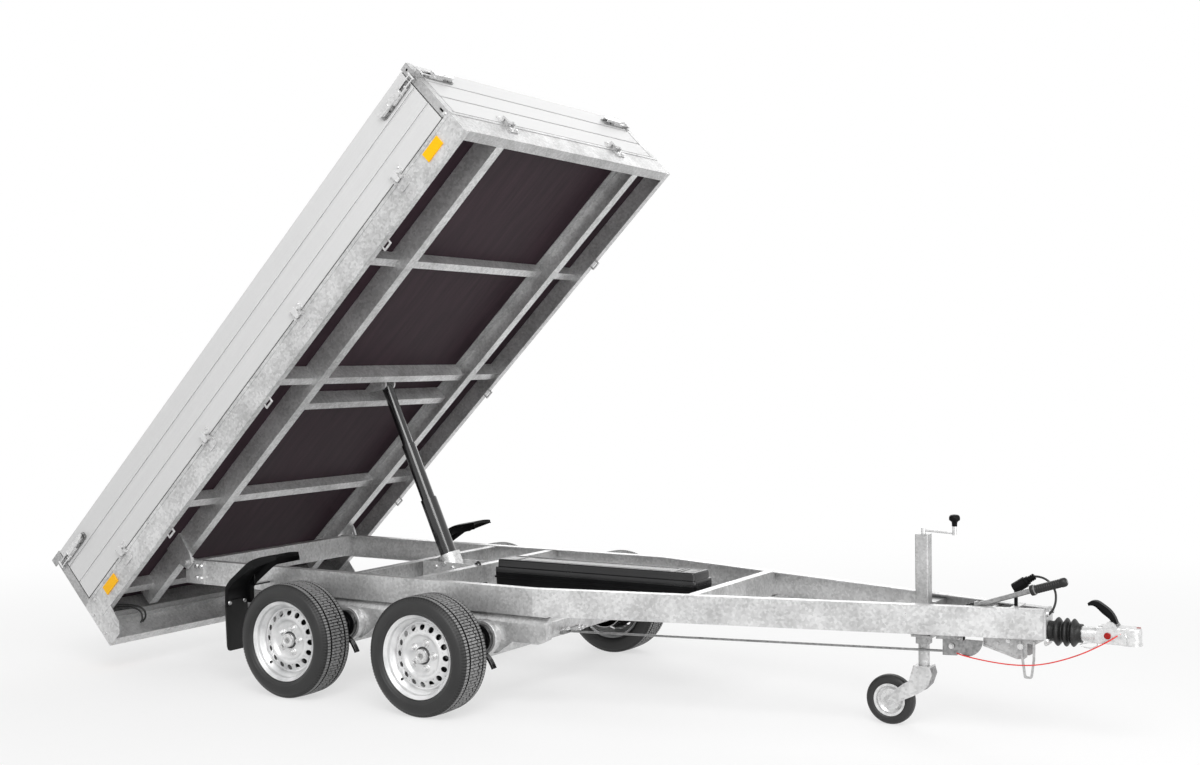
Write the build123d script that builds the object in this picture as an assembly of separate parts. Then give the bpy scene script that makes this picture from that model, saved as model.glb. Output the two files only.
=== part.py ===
from build123d import *
import math
import os

# Tipping trailer, in millimetres: X runs forward to the coupling, Y to the left side and Z up from the ground
# Everything is drawn from the point midway between the axles and moved back by mid_x at the end

# Overall layout
mid_x = 623
wheel_x = 385
wheel_y = 813
tyre_r = 262.5
tyre_wide = 195
seat_r, flange_r = 166.25, 183
vents, vent_at, vent_r = 16, 125, 12

# Chassis rails
rail_y = 606
rail_low, rail_top = 430, 548
rail_rear, rail_bend, rail_front = -1300, 796, 2843
rail_front_y = 48
rail_drop = 14
flange, sheet = 45, 4

# Tipping bed, drawn level with its pivot as origin and then raised
pivot_x, pivot_z = -1275, 540
tip_angle = 44.4
bed_rear = 431
bed_long, bed_half = 3200, 900
frame_low, frame_high = 35, 157
board_high, board_thick = 308, 25
beam_in, beam_out = 565, 620
post_top = 478
skin, lip, post, slit = 4, 36, 40, 6
hinge_out, hinge_w, knuckle_r = 15, 150, 9
latch_w = 405
plank = board_high / 3
board_low = frame_high + slit
hook_u = [665, 1570, 2560]
side_hinges = [375, 1191, 2009, 2825]
head_hinges = [-470, 470]
bed_bars = [(2410, 42, 85, True), (1668, 42, 60, True), (1490, 42, 60, False), (795, 50, 85, True),
            (140, 50, 85, True)]

# Lifting cylinder
foot_x, foot_z = -90, 535
eye_u, eye_w = 1606, 86
cheek_r = 28
barrel_r = 55
collar_r = 57
stage_out = [41, 34.5, 28]
stage_in = [35, 28.5]

# Power box
lid_hinges = [400, 1150]
lid_axis_y = 94

# Drawbar
shaft_z = 447
shaft_r, sleeve_r = 30, 38
nose_x, nose_r = 3203, 38
ball_x = 3158
jockey_x = 2338
jockey_wheel_x, jockey_wheel_z, jockey_r = 2194, 104, 104


def block(x0, x1, y0, y1, z0, z1):
    return Pos((x0 + x1) / 2, (y0 + y1) / 2, (z0 + z1) / 2) * Box(x1 - x0, y1 - y0, z1 - z0)


def rod(a, b, r):
    v = Vector(*b) - Vector(*a)
    low = (Align.CENTER, Align.CENTER, Align.MIN)
    return Plane(origin=a, z_dir=v) * Cylinder(r, v.length, align=low)


def ring(a, b, r, hole):
    return rod(a, b, r) - rod(a, b, hole)


def plate(points, y0, y1):
    face = make_face(Polyline([(x, y0, z) for x, z in points], close=True))
    return extrude(face, amount=y1 - y0, dir=(0, 1, 0))


def plan(points, z0, z1):
    face = make_face(Polyline([(x, y, z0) for x, y in points], close=True))
    return extrude(face, amount=z1 - z0, dir=(0, 0, 1))


def upright(points, x0, x1):
    """A plate that stands across the trailer, from points in Y and Z."""
    face = make_face(Polyline([(x0, y, z) for y, z in points], close=True))
    return extrude(face, amount=x1 - x0, dir=(1, 0, 0))


def soft_plate(points, y0, y1, r):
    """A plate whose corners are rounded."""
    face = make_face(Polyline([(x, z) for x, z in points], close=True))
    return Location((0, y1, 0), (90, 0, 0)) * extrude(fillet(face.vertices(), r), amount=y1 - y0)


def link(a, ra, b, rb, y0, y1):
    """A bar between two round ends, with straight sides that touch both circles."""
    d = math.hypot(b[0] - a[0], b[1] - a[1])
    way = math.atan2(b[1] - a[1], b[0] - a[0])
    turn = math.acos((ra - rb) / d)
    web = []
    for s, ends in ((1, (a, b)), (-1, (b, a))):
        for p in ends:
            r = ra if p == a else rb
            web.append((p[0] + r * math.cos(way + s * turn), p[1] + r * math.sin(way + s * turn)))
    return plate(web, y0, y1) + rod((a[0], y0, a[1]), (a[0], y1, a[1]), ra) + rod((b[0], y0, b[1]), (b[0], y1, b[1]), rb)


def both(shape):
    return shape + mirror(shape, Plane.XZ)


def total(shapes):
    out = shapes[0]
    for s in shapes[1:]:
        out = out + s
    return out


def bed(u, w):
    """A bed point, measured from the bed's rear end and the pivot's height, in the trailer's frame."""
    a = math.radians(tip_angle)
    x = u - bed_rear
    return pivot_x + x * math.cos(a) - w * math.sin(a), pivot_z + x * math.sin(a) + w * math.cos(a)


def raised(shape):
    return Location((pivot_x, 0, pivot_z), (0, -tip_angle, 0)) * shape


def bu(u):
    return u - bed_rear


# Chassis

def section(x, low, high):
    y0, y1 = -rail_y, -rail_y + flange
    pts = [(y0, low), (y1, low), (y1, low + sheet), (y0 + sheet, low + sheet)]
    pts += [(y0 + sheet, high - sheet), (y1, high - sheet), (y1, high), (y0, high)]
    return make_face(Polyline([(x, y, z) for y, z in pts], close=True))


def right_rail():
    rear = extrude(section(rail_rear, rail_low, rail_top), amount=rail_bend - rail_rear, dir=(1, 0, 0))
    v = Vector(rail_front - rail_bend, rail_y - rail_front_y, -rail_drop)
    bar = extrude(section(rail_bend, rail_low, rail_top), amount=v.length, dir=v.normalized())
    return rear + bar


def between_rails(z0, z1):
    w = rail_y - sheet
    f = rail_front_y - sheet
    pts = [(rail_rear, -w), (rail_bend, -w), (rail_front, -f), (rail_front, f), (rail_bend, w), (rail_rear, w)]
    return plan(pts, z0, z1)


def rails():
    return both(right_rail()) - rod((2590, 0, shaft_z), (rail_front + 10, 0, shaft_z), 38)


def channel_beam(x0, x1, web_rear):
    z0, z1 = rail_low + sheet, rail_top - sheet
    wx = (x0, x0 + sheet) if web_rear else (x1 - sheet, x1)
    return total([block(wx[0], wx[1], -610, 610, z0, z1), block(x0, x1, -610, 610, z0, z0 + sheet),
                  block(x0, x1, -610, 610, z1 - sheet, z1)])


def cross_members():
    beams = [channel_beam(-1296, -1246, False), channel_beam(-262, -218, True), channel_beam(104, 148, False),
             channel_beam(1441, 1485, False)]
    trays = [block(x, x + 50, -610, 610, 434, 440) for x in (340, 1150)]
    side = [block(-218, 104, y, y + 6, 434, 544) for y in (-66, 60)]
    room = between_rails(432, 545)
    out = (total(beams + trays) & room) - rails() + total(side)
    return out - rod((foot_x, -80, foot_z), (foot_x, 80, foot_z), 12.5)


def pivot_brackets():
    one = block(-1300, -1180, -614, -606, 436, 544)
    one += rod((pivot_x, -606, pivot_z), (pivot_x, -650, pivot_z), 12)
    one += plate([(-1300, 520), (-1245, 520), (-1255, 562), (-1295, 562)], -614, -606)
    one += rod((pivot_x, -606, pivot_z), (pivot_x, -617, pivot_z), 20)
    for x in (-1222, -1196):
        for z in (460, 520):
            one += rod((x, -614, z), (x, -622, z), 9)
    return both(one)


def axle(hub_x):
    ax = hub_x + 140
    tube = block(ax - 38, ax + 38, -640, 640, 229, 305)
    tube = fillet(tube.edges().filter_by(Axis.Y), 8)
    arm = link((ax, 266), 40, (hub_x, tyre_r), 33, -664, -640)
    arm += ring((hub_x, -668, tyre_r), (hub_x, -664, tyre_r), 118, 30) + rod((hub_x, -682, tyre_r), (hub_x, -664, tyre_r), 44)
    arm += ring((hub_x, -672, tyre_r), (hub_x, -668, tyre_r), 118, 104)
    arm += rod((hub_x, -682, tyre_r), (hub_x, -wheel_y - 47, tyre_r), 18)
    return tube + both(arm)


def carriers():
    def outline(t):
        a, b, c = 560 - t, 860 - t, rail_low - t
        return [(-a, c), (b, c), (b, 352 + t / 3), (b - 42, 305 + t), (42 - a, 305 + t), (-a, 352 + t / 3)]
    side = plate(outline(0), -600, -558) - plate(outline(4), -596, -550)
    for x in (-420, 150, 700):
        side -= rod((x, -610, 368), (x, -590, 368), 22)
    return both(side) - rails()


def arc_points(cx, cz, r, a0, a1, n):
    out = []
    for i in range(n + 1):
        a = math.radians(a0 + (a1 - a0) * i / n)
        out.append((cx + r * math.cos(a), cz + r * math.sin(a)))
    return out


def toward_hub(points, d):
    """The points of an arch over the rear wheel, each moved by d toward the hub."""
    moved = []
    for x, z in points:
        k = 1 - d / math.hypot(x + wheel_x, z - tyre_r)
        moved.append((-wheel_x + (x + wheel_x) * k, tyre_r + (z - tyre_r) * k))
    return moved


def mudguards():
    arch = [(-790, 385), (-790, 476), (-762, 511), (-645, 602), (-612, 619), (-462, 648)]
    one = plate(arch + toward_hub(arch, 4)[::-1], -855, -700)
    near = [(-466, 628), (-504, 620), (-549, 584), (-589, 577), (-646, 572), (-742, 500), (-765, 462), (-768, 385)]
    one += plate(arch + near, -855, -851) + plate(arch + toward_hub(arch, 42)[::-1], -704, -700)
    one += plate([(-799, 410), (-789, 410), (-779, 170), (-789, 170)], -848, -704)
    one += block(-490, -460, -704, -rail_y, 500, 506)
    return both(one + plate([(-490, 500), (-460, 500), (-466, 640), (-490, 636)], -704, -698))


def power_box():
    x0, x1 = 230, 1320
    body = block(x0 + 4, x1 - 4, -84, 84, 440, 500)
    out = fillet(body.edges().filter_by(Axis.Z), 16)
    rim = block(x0, x1, -88, 88, 503, 520) + block(x0 - 6, x1 + 6, -94, 94, 494, 503)
    out += fillet(rim.edges().filter_by(Axis.Z), 12)
    for x in lid_hinges:
        out += rod((x - 30, lid_axis_y, 520), (x - 12, lid_axis_y, 520), 5)
        out += rod((x + 12, lid_axis_y, 520), (x + 30, lid_axis_y, 520), 5)
        out += block(x - 30, x - 12, 84, lid_axis_y, 515, 520) + block(x + 12, x + 30, 84, lid_axis_y, 515, 520)
        out += rod((x - 20, lid_axis_y, 520), (x + 20, lid_axis_y, 520), 2.5)
    return out - block(x0 + 8, x1 - 8, -80, 80, 446, 521)


def power_lid():
    body = block(232, 1318, -88, 88, 520, 582)
    body = fillet(body.edges().filter_by(Axis.Z), 12)
    out = fillet(body.edges().group_by(Axis.Z)[-1], 9)
    groove = block(220, 1330, -100, 100, 536, 539)
    inside = block(234, 1316, -86, 86, 530, 545)
    out -= groove - fillet(inside.edges().filter_by(Axis.Z), 10)
    for x in lid_hinges:
        knuckle = rod((x - 10, lid_axis_y, 520), (x + 10, lid_axis_y, 520), 5)
        knuckle += block(x - 10, x + 10, 84, lid_axis_y, 520, 525)
        out += knuckle - rod((x - 12, lid_axis_y, 520), (x + 12, lid_axis_y, 520), 3)
    return out - block(240, 1310, -80, 80, 519, 574)


def drawbar_head():
    f, z = rail_front, shaft_z
    out = ring((f - 243, 0, z), (f, 0, z), sleeve_r, shaft_r + 0.5)
    clamps = block(f - 223, f - 211, -200, 200, 424, 524) + block(f - 53, f - 41, -200, 200, 424, 524)
    out += (clamps & between_rails(400, 560)) - rails() - rod((f - 243, 0, z), (f + 7, 0, z), shaft_r + 0.5)
    face = [(-54, 408), (-40, 392), (40, 392), (54, 408), (54, 522), (36, 540), (-36, 540), (-54, 522)]
    out += upright(face, f, f + 8) - rod((f - 3, 0, z), (f + 17, 0, z), shaft_r + 0.5)
    strip = block(2712, 2740, -72, 72, 530, 538) - rails()
    return out + strip


def shackle_loop():
    """A bent strip that hangs from the right guard."""
    f = rail_front
    outer = [(f - 98, 408), (f - 34, 408), (f - 36, 330), (f - 46, 259), (f - 78, 259), (f - 88, 330)]
    inner = [(f - 92, 418), (f - 42, 418), (f - 44, 332), (f - 53, 267), (f - 71, 267), (f - 80, 332)]
    return soft_plate(outer, -56, -46, 9) - soft_plate(inner, -60, -40, 6) + rod((f - 91, -58, 384), (f - 91, -46, 384), 11)


def drawbar_skirts():
    """The pressed guards that close the housing from below, one on each side."""
    f = rail_front
    rear = plate([(f - 243, 424), (f - 68, 424), (f - 68, 342), (f - 80, 333), (f - 104, 331), (f - 243, 372)], -46, -42)
    rear += plate([(f - 243, 372), (f - 104, 331), (f - 102, 339), (f - 241, 380)], -50, -46)
    front = plate([(f - 68, 424), (f, 424), (f, 414), (f - 32, 396), (f - 68, 396)], -46, -42)
    rib = rod((f - 190, -50, 384), (f - 190, -46, 384), 12)
    return both(rear + front + rib) - rails() - drawbar_head()


def handbrake():
    bar = (block(2440, 2520, -170, 170, 404, 424) & between_rails(300, 600)) - rails()
    cheek = [(2441, 424), (2523, 424), (2523, 352), (2500, 328), (2441, 325)]
    out = bar + plate(cheek, -74, -68) + plate(cheek, -40, -34)
    sector = [(2536, 396)] + arc_points(2536, 396, 69, 0, -88, 8)
    out += plate(sector + [(2510, 340), (2510, 380)], -73, -67)
    out += rod((2480, -80, 365), (2480, -28, 365), 9)
    knee, neck, tip = (2556, -54, 528), (2800, -54, 611), (2922, -54, 651)
    out += rod((2480, -54, 365), knee, 10) + rod(knee, neck, 10.5) + Pos(*knee) * Sphere(10.5)
    out += rod((2572, -54, 533.4), (2586, -54, 538.2), 16)
    return out + rod(neck, tip, 16) + rod(neck, (2812, -54, 615), 20) + Pos(*tip) * Sphere(16)


def brake_rod():
    out = rod((600, 0, 250), (2445, -37, 335), 5) + block(563, 603, -60, 60, 244, 256)
    return out - handbrake()


def jockey_tube():
    x = jockey_x
    shell = block(x - 28, x + 28, -28, 28, 352, 805)
    out = fillet(shell.edges().filter_by(Axis.Z), 7) - block(x - 25, x + 25, -25, 25, 372, 798)
    out -= rod((x, 0, 340), (x, 0, 380), 23.5)
    straps = block(x - 40, x + 40, -210, -28, 420, 520) + block(x - 40, x + 40, 28, 210, 420, 520)
    foot = block(x - 44, x + 44, -34, 34, 380, 388) - rod((x, 0, 340), (x, 0, 400), 23.5)
    for s in (-1, 1):
        foot += plate([(x + s * 36, 384), (x + s * 44, 384), (x + s * 52, 404), (x + s * 44, 408)], -34, 34)
    foot -= block(x - 25, x + 25, -25, 25, 372, 400)
    return out + foot + ((straps & between_rails(421, 530)) - rails())


def jockey_crank():
    x = jockey_x
    out = rod((x, 0, 805), (x, 0, 830), 9) + rod((x, 0, 820), (x + 130, 0, 814), 5)
    out += rod((x + 132, 0, 806), (x + 132, 0, 850), 9)
    knob = [(0, 846), (9, 846), (11, 862), (20, 868), (21, 880), (15, 887), (0, 889)]
    face = make_face(Polyline([(x + 132 + r, 0, z) for r, z in knob], close=True))
    return out + revolve(face, Axis((x + 132, 0, 0), (0, 0, 1)))


def jockey_inner():
    x = jockey_x
    return ring((x, 0, 262), (x, 0, 640), 23, 19)


def jockey_fork():
    x, hx, hz = jockey_x, jockey_wheel_x, jockey_wheel_z
    out = block(x - 34, x + 34, -38, 38, 254, 262)
    cheek = [(x - 34, 262), (x + 34, 262), (x + 44, 228), (x + 28, 182), (x + 2, 155), (x - 36, 134), (hx + 8, hz - 18),
             (hx - 8, hz + 17), (x - 76, 182), (x - 54, 194)]
    side = plate(cheek, -38, -33) + rod((hx, -38, hz), (hx, -33, hz), 20)
    side += plate([(x - 36, 134), (hx + 8, hz - 18), (hx + 6, hz - 13), (x - 38, 139)], -44, -38)
    side += plate([(x - 76, 182), (hx - 8, hz + 17), (hx - 4, hz + 13), (x - 74, 177)], -44, -38)
    return out + both(side) + rod((hx, -46, hz), (hx, 46, hz), 7)


def jockey_rim():
    half = [(7.5, 28), (18, 28), (22, 12), (44, 8), (54, 14), (58, 22), (68, 24)]
    pts = half + [(r, -s) for r, s in reversed(half)]
    return spin_about_axle(pts, jockey_wheel_x, 0, jockey_wheel_z)


def jockey_tyre():
    half = [(104, 8), (103, 14), (99, 21), (93, 26), (86, 27.5), (76, 26), (68, 22)]
    pts = [(r, -s) for r, s in reversed(half)] + half
    return spin_about_axle(pts, jockey_wheel_x, 0, jockey_wheel_z)


# Overrun coupling

def bellows():
    x0 = rail_front + 8
    folds = [(0, 40), (2, 54), (18, 54), (32, 57), (44, 58), (54, 55), (63, 46), (69, 55), (75, 57), (81, 54), (87, 45),
             (93, 53), (99, 55), (106, 50), (112, 40), (118, 37), (130, 36.5)]
    wall = [(130, shaft_r + 0.2), (116, 33), (109, 36), (101, 45), (95, 46), (87, 40), (80, 46), (72, 47), (63, 41),
            (54, 48), (34, 50), (6, 48), (4, 40)]
    face = make_face(Polyline([(x0 + x, 0, shaft_z + r) for x, r in folds + wall], close=True))
    return revolve(face, Axis((x0, 0, shaft_z), (1, 0, 0)))


def coupling_head():
    z = shaft_z
    out = rod((rail_front - 203, 0, z), (nose_x - 103, 0, z), shaft_r)
    tip = nose_x - nose_r
    core = block(nose_x - 163, tip, -34, 34, z - 26, z + 40) + rod((tip, 0, z - 26), (tip, 0, z + 40), nose_r)
    core = fillet(core.edges().group_by(Axis.Z)[-1], 9)
    out += core + rod((tip, 0, z - 29), (tip, 0, z - 22), nose_r + 3)
    cheek = [(nose_x - 168, z - 27), (nose_x - 168, z + 6), (nose_x - 140, z + 38), (nose_x - 120, z + 60),
             (nose_x - 100, z + 60), (nose_x - 78, z + 30), (nose_x - 50, z + 4), (nose_x - 50, z - 27)]
    out += both(soft_plate(cheek, -40, -33, 7))
    return out - rod((ball_x, 0, z - 30), (ball_x, 0, z + 30), 25.5)


def coupling_handle():
    x, z = nose_x - 100, shaft_z
    upper = [(-101, 122), (-83, 133), (-66, 133), (-45, 122), (-14, 98), (3, 73), (11, 50)]
    lower = [(-8, 50), (-18, 66), (-45, 87), (-80, 114), (-97, 112)]
    rim = Spline([(x + a, 0, z + b) for a, b in upper]) + Line((x + 11, 0, z + 50), (x - 8, 0, z + 50))
    rim += Spline([(x + a, 0, z + b) for a, b in lower]) + Line((x - 97, 0, z + 112), (x - 101, 0, z + 122))
    grip = extrude(make_face(rim), amount=15, both=True)
    pocket = plate([(x - 78, z + 120), (x - 40, z + 100), (x - 18, z + 78), (x - 26, z + 74), (x - 50, z + 96)], 11, 20)
    return grip - both(pocket) - coupling_head()


# Wheels

def spin_about_axle(points, x, y, z):
    face = make_face(Polyline([(r, s, 0) for r, s in points], close=True))
    return Pos(x, y, z) * revolve(face, Axis.Y)


def rim(x, side):
    """Half section in radius and distance outward from the wheel's middle plane."""
    f, s = flange_r, seat_r
    pts = [(f, 82.5), (f, 77), (s + 0.75, 74), (s - 0.75, 60), (158, 52), (149, 34), (149, -32), (s - 0.75, -50),
           (s + 0.75, -74), (f, -77), (f, -82.5), (f - 5, -80), (s - 2.75, -76), (s - 4, -52), (145.5, -34), (145.5, 27.5),
           (141, 27.5), (112, 41), (101, 46), (92, 40), (84, 30), (80, 24), (18.5, 24), (18.5, 53), (0, 53), (0, 57),
           (24, 57), (31, 54), (31, 35), (82, 34), (90, 43.5), (101, 50), (112, 45.5), (141.5, 31.5), (145.5, 31.5),
           (154.5, 53), (s - 4.5, 61.5), (s - 3, 76), (f - 5, 80.5)]
    out = spin_about_axle([(r, side * d) for r, d in pts], x, side * wheel_y, tyre_r)
    for i in range(vents):
        a = 2 * math.pi * i / vents
        c = x + vent_at * math.sin(a), tyre_r + vent_at * math.cos(a)
        out -= rod((c[0], side * (wheel_y + 20), c[1]), (c[0], side * (wheel_y + 60), c[1]), vent_r)
    drum = [(18.5, 24), (84, 24), (100, 19), (114, 8), (116, -20), (116, -105), (108, -105), (108, 4), (84, 16), (18.5, 16)]
    return out + spin_about_axle([(r, side * d) for r, d in drum], x, side * wheel_y, tyre_r)


def tyre(x, side):
    """The section from bead to bead: heights above the rim's flange are shares of the side wall."""
    half = tyre_wide / 2
    high = tyre_r - flange_r
    wall = [(0.09, half - 10), (0.25, half - 1.5), (0.42, half), (0.6, half - 3), (0.77, half - 9), (0.9, half - 15),
            (0.965, half - 20), (0.985, half - 32)]
    tread = [(0.99, 44), (0.91, 43), (0.91, 37), (0.996, 36), (1, 14), (0.91, 13), (0.91, 7), (1, 6)]
    side_half = [(seat_r + 0.75, 74), (flange_r, 77)] + [(flange_r + k * high, s) for k, s in wall + tread]
    pts = [(r, -s) for r, s in side_half] + [(r, s) for r, s in reversed(side_half)]
    crown = flange_r + 0.75 * high
    pts += [(seat_r, 62), (crown, 70), (crown, -70), (seat_r, -62)]
    return spin_about_axle(pts, x, side * wheel_y, tyre_r)


# Bed

def bed_floor():
    h = bed_half
    out = block(bu(skin), bu(bed_long - skin), skin - h, h - skin, 139, frame_high)
    notch = block(bu(0), bu(16), -h - 10, 2 - h + post, 130, 170)
    notch += block(bu(bed_long - post - 2), bu(bed_long + 10), -h - 10, 2 - h + post, 130, 170)
    return raised(out - both(notch))


def board(a0, a1, outer, way, along):
    """A hollow board from a0 to a1; way is the direction from its outer face inward."""
    def solid(points, b0, b1):
        if along:
            face = make_face(Polyline([(b0, outer + way * d, w) for d, w in points], close=True))
            return extrude(face, amount=b1 - b0, dir=(1, 0, 0))
        face = make_face(Polyline([(outer + way * d, b0, w) for d, w in points], close=True))
        return extrude(face, amount=b1 - b0, dir=(0, 1, 0))
    out = solid(board_profile(), a0, a1)
    for i in range(3):
        lo, hi = board_low + 3 + i * plank, board_low - 3 + (i + 1) * plank
        out -= solid([(3.6, lo), (board_thick - 2, lo), (board_thick - 2, hi), (3.6, hi)], a0 - 1, a1 + 1)
    return out


def board_profile():
    """Depth into the board and height: three planks with a sloping lip and a groove at each joint."""
    low, t = board_low, board_thick
    pts = [(1.5, low), (0, low + 1.5)]
    for i in (1, 2):
        j = low + i * plank
        pts += [(0, j - 8), (2.4, j - 2), (2.4, j), (6, j), (6, j + 1.8), (0.5, j + 2.2), (0, j + 4)]
    top = low + board_high
    return pts + [(0, top - 2), (2, top), (t - 2, top), (t, top - 2), (t, low + 2), (t - 2, low)]


def latch():
    """An over-centre latch: base plate, cheeks, tapered lever, and the wire that reaches over to the post."""
    w = latch_w
    out = plate([(205, w - 14), (190, w - 20), (20, w - 20), (5, w - 12), (5, w + 12), (20, w + 20), (190, w + 20),
                 (205, w + 14)], -4, 0)
    for s in (-1, 1):
        out += block(28, 120, -16, -3, w + s * 16 - 2, w + s * 16 + 2)
        out += rod((-27, -14, w + s * 12.5), (58, -14, w + s * 12.5), 3)
    out += rod((-27, -14, w - 16), (-27, -14, w + 16), 3.5) + rod((60, -14, w - 17), (60, -14, w + 17), 4.5)
    out += link((66, w), 12, (196, w + 4), 7, -23, -19.5)
    return out + block(54, 100, -21, -11, w - 5, w + 5)


def keeper():
    """The plate on a post with its turned-up lip, which a latch's wire is hooked over."""
    out = block(-42, -10, -3, 0, latch_w - 24, latch_w + 24)
    return out + block(-38, -35, -14, 0, latch_w - 12, latch_w + 12)


def placed(shape, end, way, y, along):
    """A fitting drawn at a board's rear end, moved to an end at the front (1) or rear (-1), or across the bed."""
    out = Pos(end, y, 0) * (mirror(shape, Plane.YZ) if way > 0 else shape)
    return out if along else Rot(0, 0, 90) * out


def board_end(way):
    """Where a side board ends: at the front (1) or at the rear (-1)."""
    return bu(bed_long - post - slit) if way > 0 else bu(14 + slit)


def knuckles(x, y, along):
    """The fixed half of a board hinge, with its pin, drawn for a hinge line along X or along Y."""
    out = block(x - 34, x + 34, y, y + 5, 96, 142)
    out = chamfer(out.edges().filter_by(Axis.Y), 8)
    for s in (-21, 21):
        out += rod((x + s - 6, y + 5 - hinge_out, hinge_w), (x + s + 6, y + 5 - hinge_out, hinge_w), knuckle_r)
        out += block(x + s - 6, x + s + 6, y - 17, y + 5, hinge_w - 14, hinge_w - 4)
    out += rod((x - 20, y + 5 - hinge_out, hinge_w), (x + 20, y + 5 - hinge_out, hinge_w), 4)
    return out if along else Rot(0, 0, 90) * out


def side_rails():
    low, high, h = frame_low, frame_high, bed_half
    rail = block(bu(0), bu(bed_long), -h, skin - h, low, high) + block(bu(0), bu(bed_long), -h, lip - h, low, low + skin)
    rail += block(bu(0), bu(bed_long), -h - 2, -h, high - 16, high)
    for u in side_hinges:
        rail += knuckles(bu(u), -h - 5, True)
    for u in hook_u:
        y = -h + lip - 9
        rail += rod((bu(u - 22), y, low + 2), (bu(u - 22), y, low - 22), 5) + rod((bu(u + 22), y, low + 2), (bu(u + 22), y, low - 22), 5)
        rail += rod((bu(u - 22), y, low - 22), (bu(u + 22), y, low - 22), 5)
        rail += Pos(bu(u - 22), y, low - 22) * Sphere(5) + Pos(bu(u + 22), y, low - 22) * Sphere(5)
    return raised(both(rail))


def end_rails():
    low, high, h = frame_low, frame_high, bed_half
    front = block(bu(bed_long - skin), bu(bed_long), skin - h, h - skin, low, high)
    front += block(bu(bed_long), bu(bed_long + 2), skin - h, h - skin, high - 16, high)
    front += block(bu(bed_long - 50), bu(bed_long - skin), lip - h, h - lip, low, low + skin)
    for y in head_hinges:
        front += knuckles(y, -bu(bed_long) - 5, False)
    rear = block(bu(0), bu(skin), skin - h, h - skin, low, high) + block(bu(skin), bu(40), lip - h, h - lip, low, low + skin)
    corner = both(block(bu(-1), bu(bed_long + 1), -h, lip - h, low, low + skin))
    return raised(front + rear - corner)


def bed_beams():
    low, top, t = frame_low, 139, 4
    beam = block(bu(60), bu(3150), -beam_out, -beam_in, low, top)
    beam -= block(bu(50), bu(3160), -beam_out + t, -beam_in + t, low + t, top - t)
    lug = plate([(-60, top), (60, top), (45, 20), (22, -28), (-22, -28), (-45, 20)], -632, -620)
    return raised(both(beam + lug - rod((0, -700, 0), (0, -600, 0), 12.5)))


def cross_bars():
    top, t = 139, 4
    parts = []
    for u, wide, low, wings in bed_bars:
        ends = bu(u - wide / 2), bu(u + wide / 2)
        parts.append(block(*ends, -beam_in, beam_in, low, top) - block(ends[0] - 1, ends[1] - t, -600, 600, low + t, top - t))
        wing = block(*ends, -896, -beam_out, low, top) - block(ends[0] - 1, ends[1] - t, -900, -600, low + t, top - t)
        if wings:
            parts.append(both(wing))
    return raised(total(parts))


def eye_bracket():
    u0, u1 = bed_bars[2][0] + bed_bars[2][1] / 2, bed_bars[1][0] - bed_bars[1][1] / 2
    cheek = plate([(bu(u0), 139), (bu(u1), 139), (bu(u1), 118), (bu(eye_u) + 26, eye_w - 15), (bu(eye_u) - 26, eye_w - 15),
                   (bu(u0), 118)], -40, -30)
    cheek += rod((bu(eye_u), -40, eye_w), (bu(eye_u), -30, eye_w), cheek_r)
    return raised(both(cheek) + rod((bu(eye_u), -44, eye_w), (bu(eye_u), 44, eye_w), 9))


def rear_panel():
    h = bed_half
    out = block(bu(-36), bu(0), -h, h, 30, 150) - block(bu(-32), bu(1), skin - h, h - skin, 34, 146)
    out += block(bu(-36), bu(-32), -h, h, -105, 34) + block(bu(-36), bu(20), -h, h, -105, -101)
    cheek = [(bu(-36), 34), (bu(0), 34), (bu(110), 34), (bu(100), -60), (bu(60), -105), (bu(-36), -105)]
    out += both(plate(cheek, -h, skin - h))
    return raised(out + block(bu(-39), bu(-36), -260, 260, -92, 18))


def tail_lamps():
    return raised(both(block(bu(-76), bu(-36), -860, -520, -75, 20)))


def side_reflectors():
    return raised(both(total([block(bu(u - 53), bu(u + 53), -bed_half - 6, -bed_half, 82, 130) for u in (190, 3034)])))


def corner_posts():
    h, t = bed_half, skin
    front = block(bu(bed_long - post), bu(bed_long), -h, post - h, frame_high, post_top)
    front -= block(bu(bed_long - post + t), bu(bed_long - t), t - h, post - t - h, frame_high + t, post_top - t)
    front -= rod((bu(bed_long - 20), -h - 5, 452), (bu(bed_long - 20), 8 - h, 452), 6)
    front -= block(bu(bed_long - 25), bu(bed_long - 15), -h - 5, 8 - h, 176, 200)
    rear = block(bu(-36), bu(0), -h, post - h, 150, post_top) + block(bu(0), bu(14), -h, post - h, frame_high, post_top)
    rear -= block(bu(t - 36), bu(14 - t), t - h, post - t - h, frame_high + t, post_top - t)
    rear += block(bu(-60), bu(-36), -h, 6 - h, 436, post_top)
    rear += rod((bu(-50), -h, 460), (bu(-50), 56 - h, 460), 8)
    feet = block(bu(bed_long - post + 2), bu(bed_long - t), t - h, post - 2 - h, 139, frame_high)
    feet += block(bu(t), bu(14), t - h, post - 2 - h, 139, frame_high)
    catches = placed(keeper(), board_end(1), 1, -h, True) + placed(keeper(), board_end(-1), -1, -h, True)
    catches += placed(keeper(), h - post - slit, 1, -bu(bed_long), False)
    return raised(both(front + rear + feet + catches))


def side_hinge(x, y):
    out = rod((x - 13, y - hinge_out, hinge_w), (x + 13, y - hinge_out, hinge_w), knuckle_r)
    out += block(x - 13, x + 13, y - hinge_out - 9, y - hinge_out, hinge_w, hinge_w + 40)
    out += block(x - 13, x + 13, y - hinge_out - 9, y, hinge_w + 26, hinge_w + 40)
    strap = block(x - 42, x + 42, y - 4, y, hinge_w + 19, hinge_w + 56)
    out += chamfer(strap.edges().filter_by(Axis.Y), 8)
    return out - rod((x - 14, y - hinge_out, hinge_w), (x + 14, y - hinge_out, hinge_w), 4.5)


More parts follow.
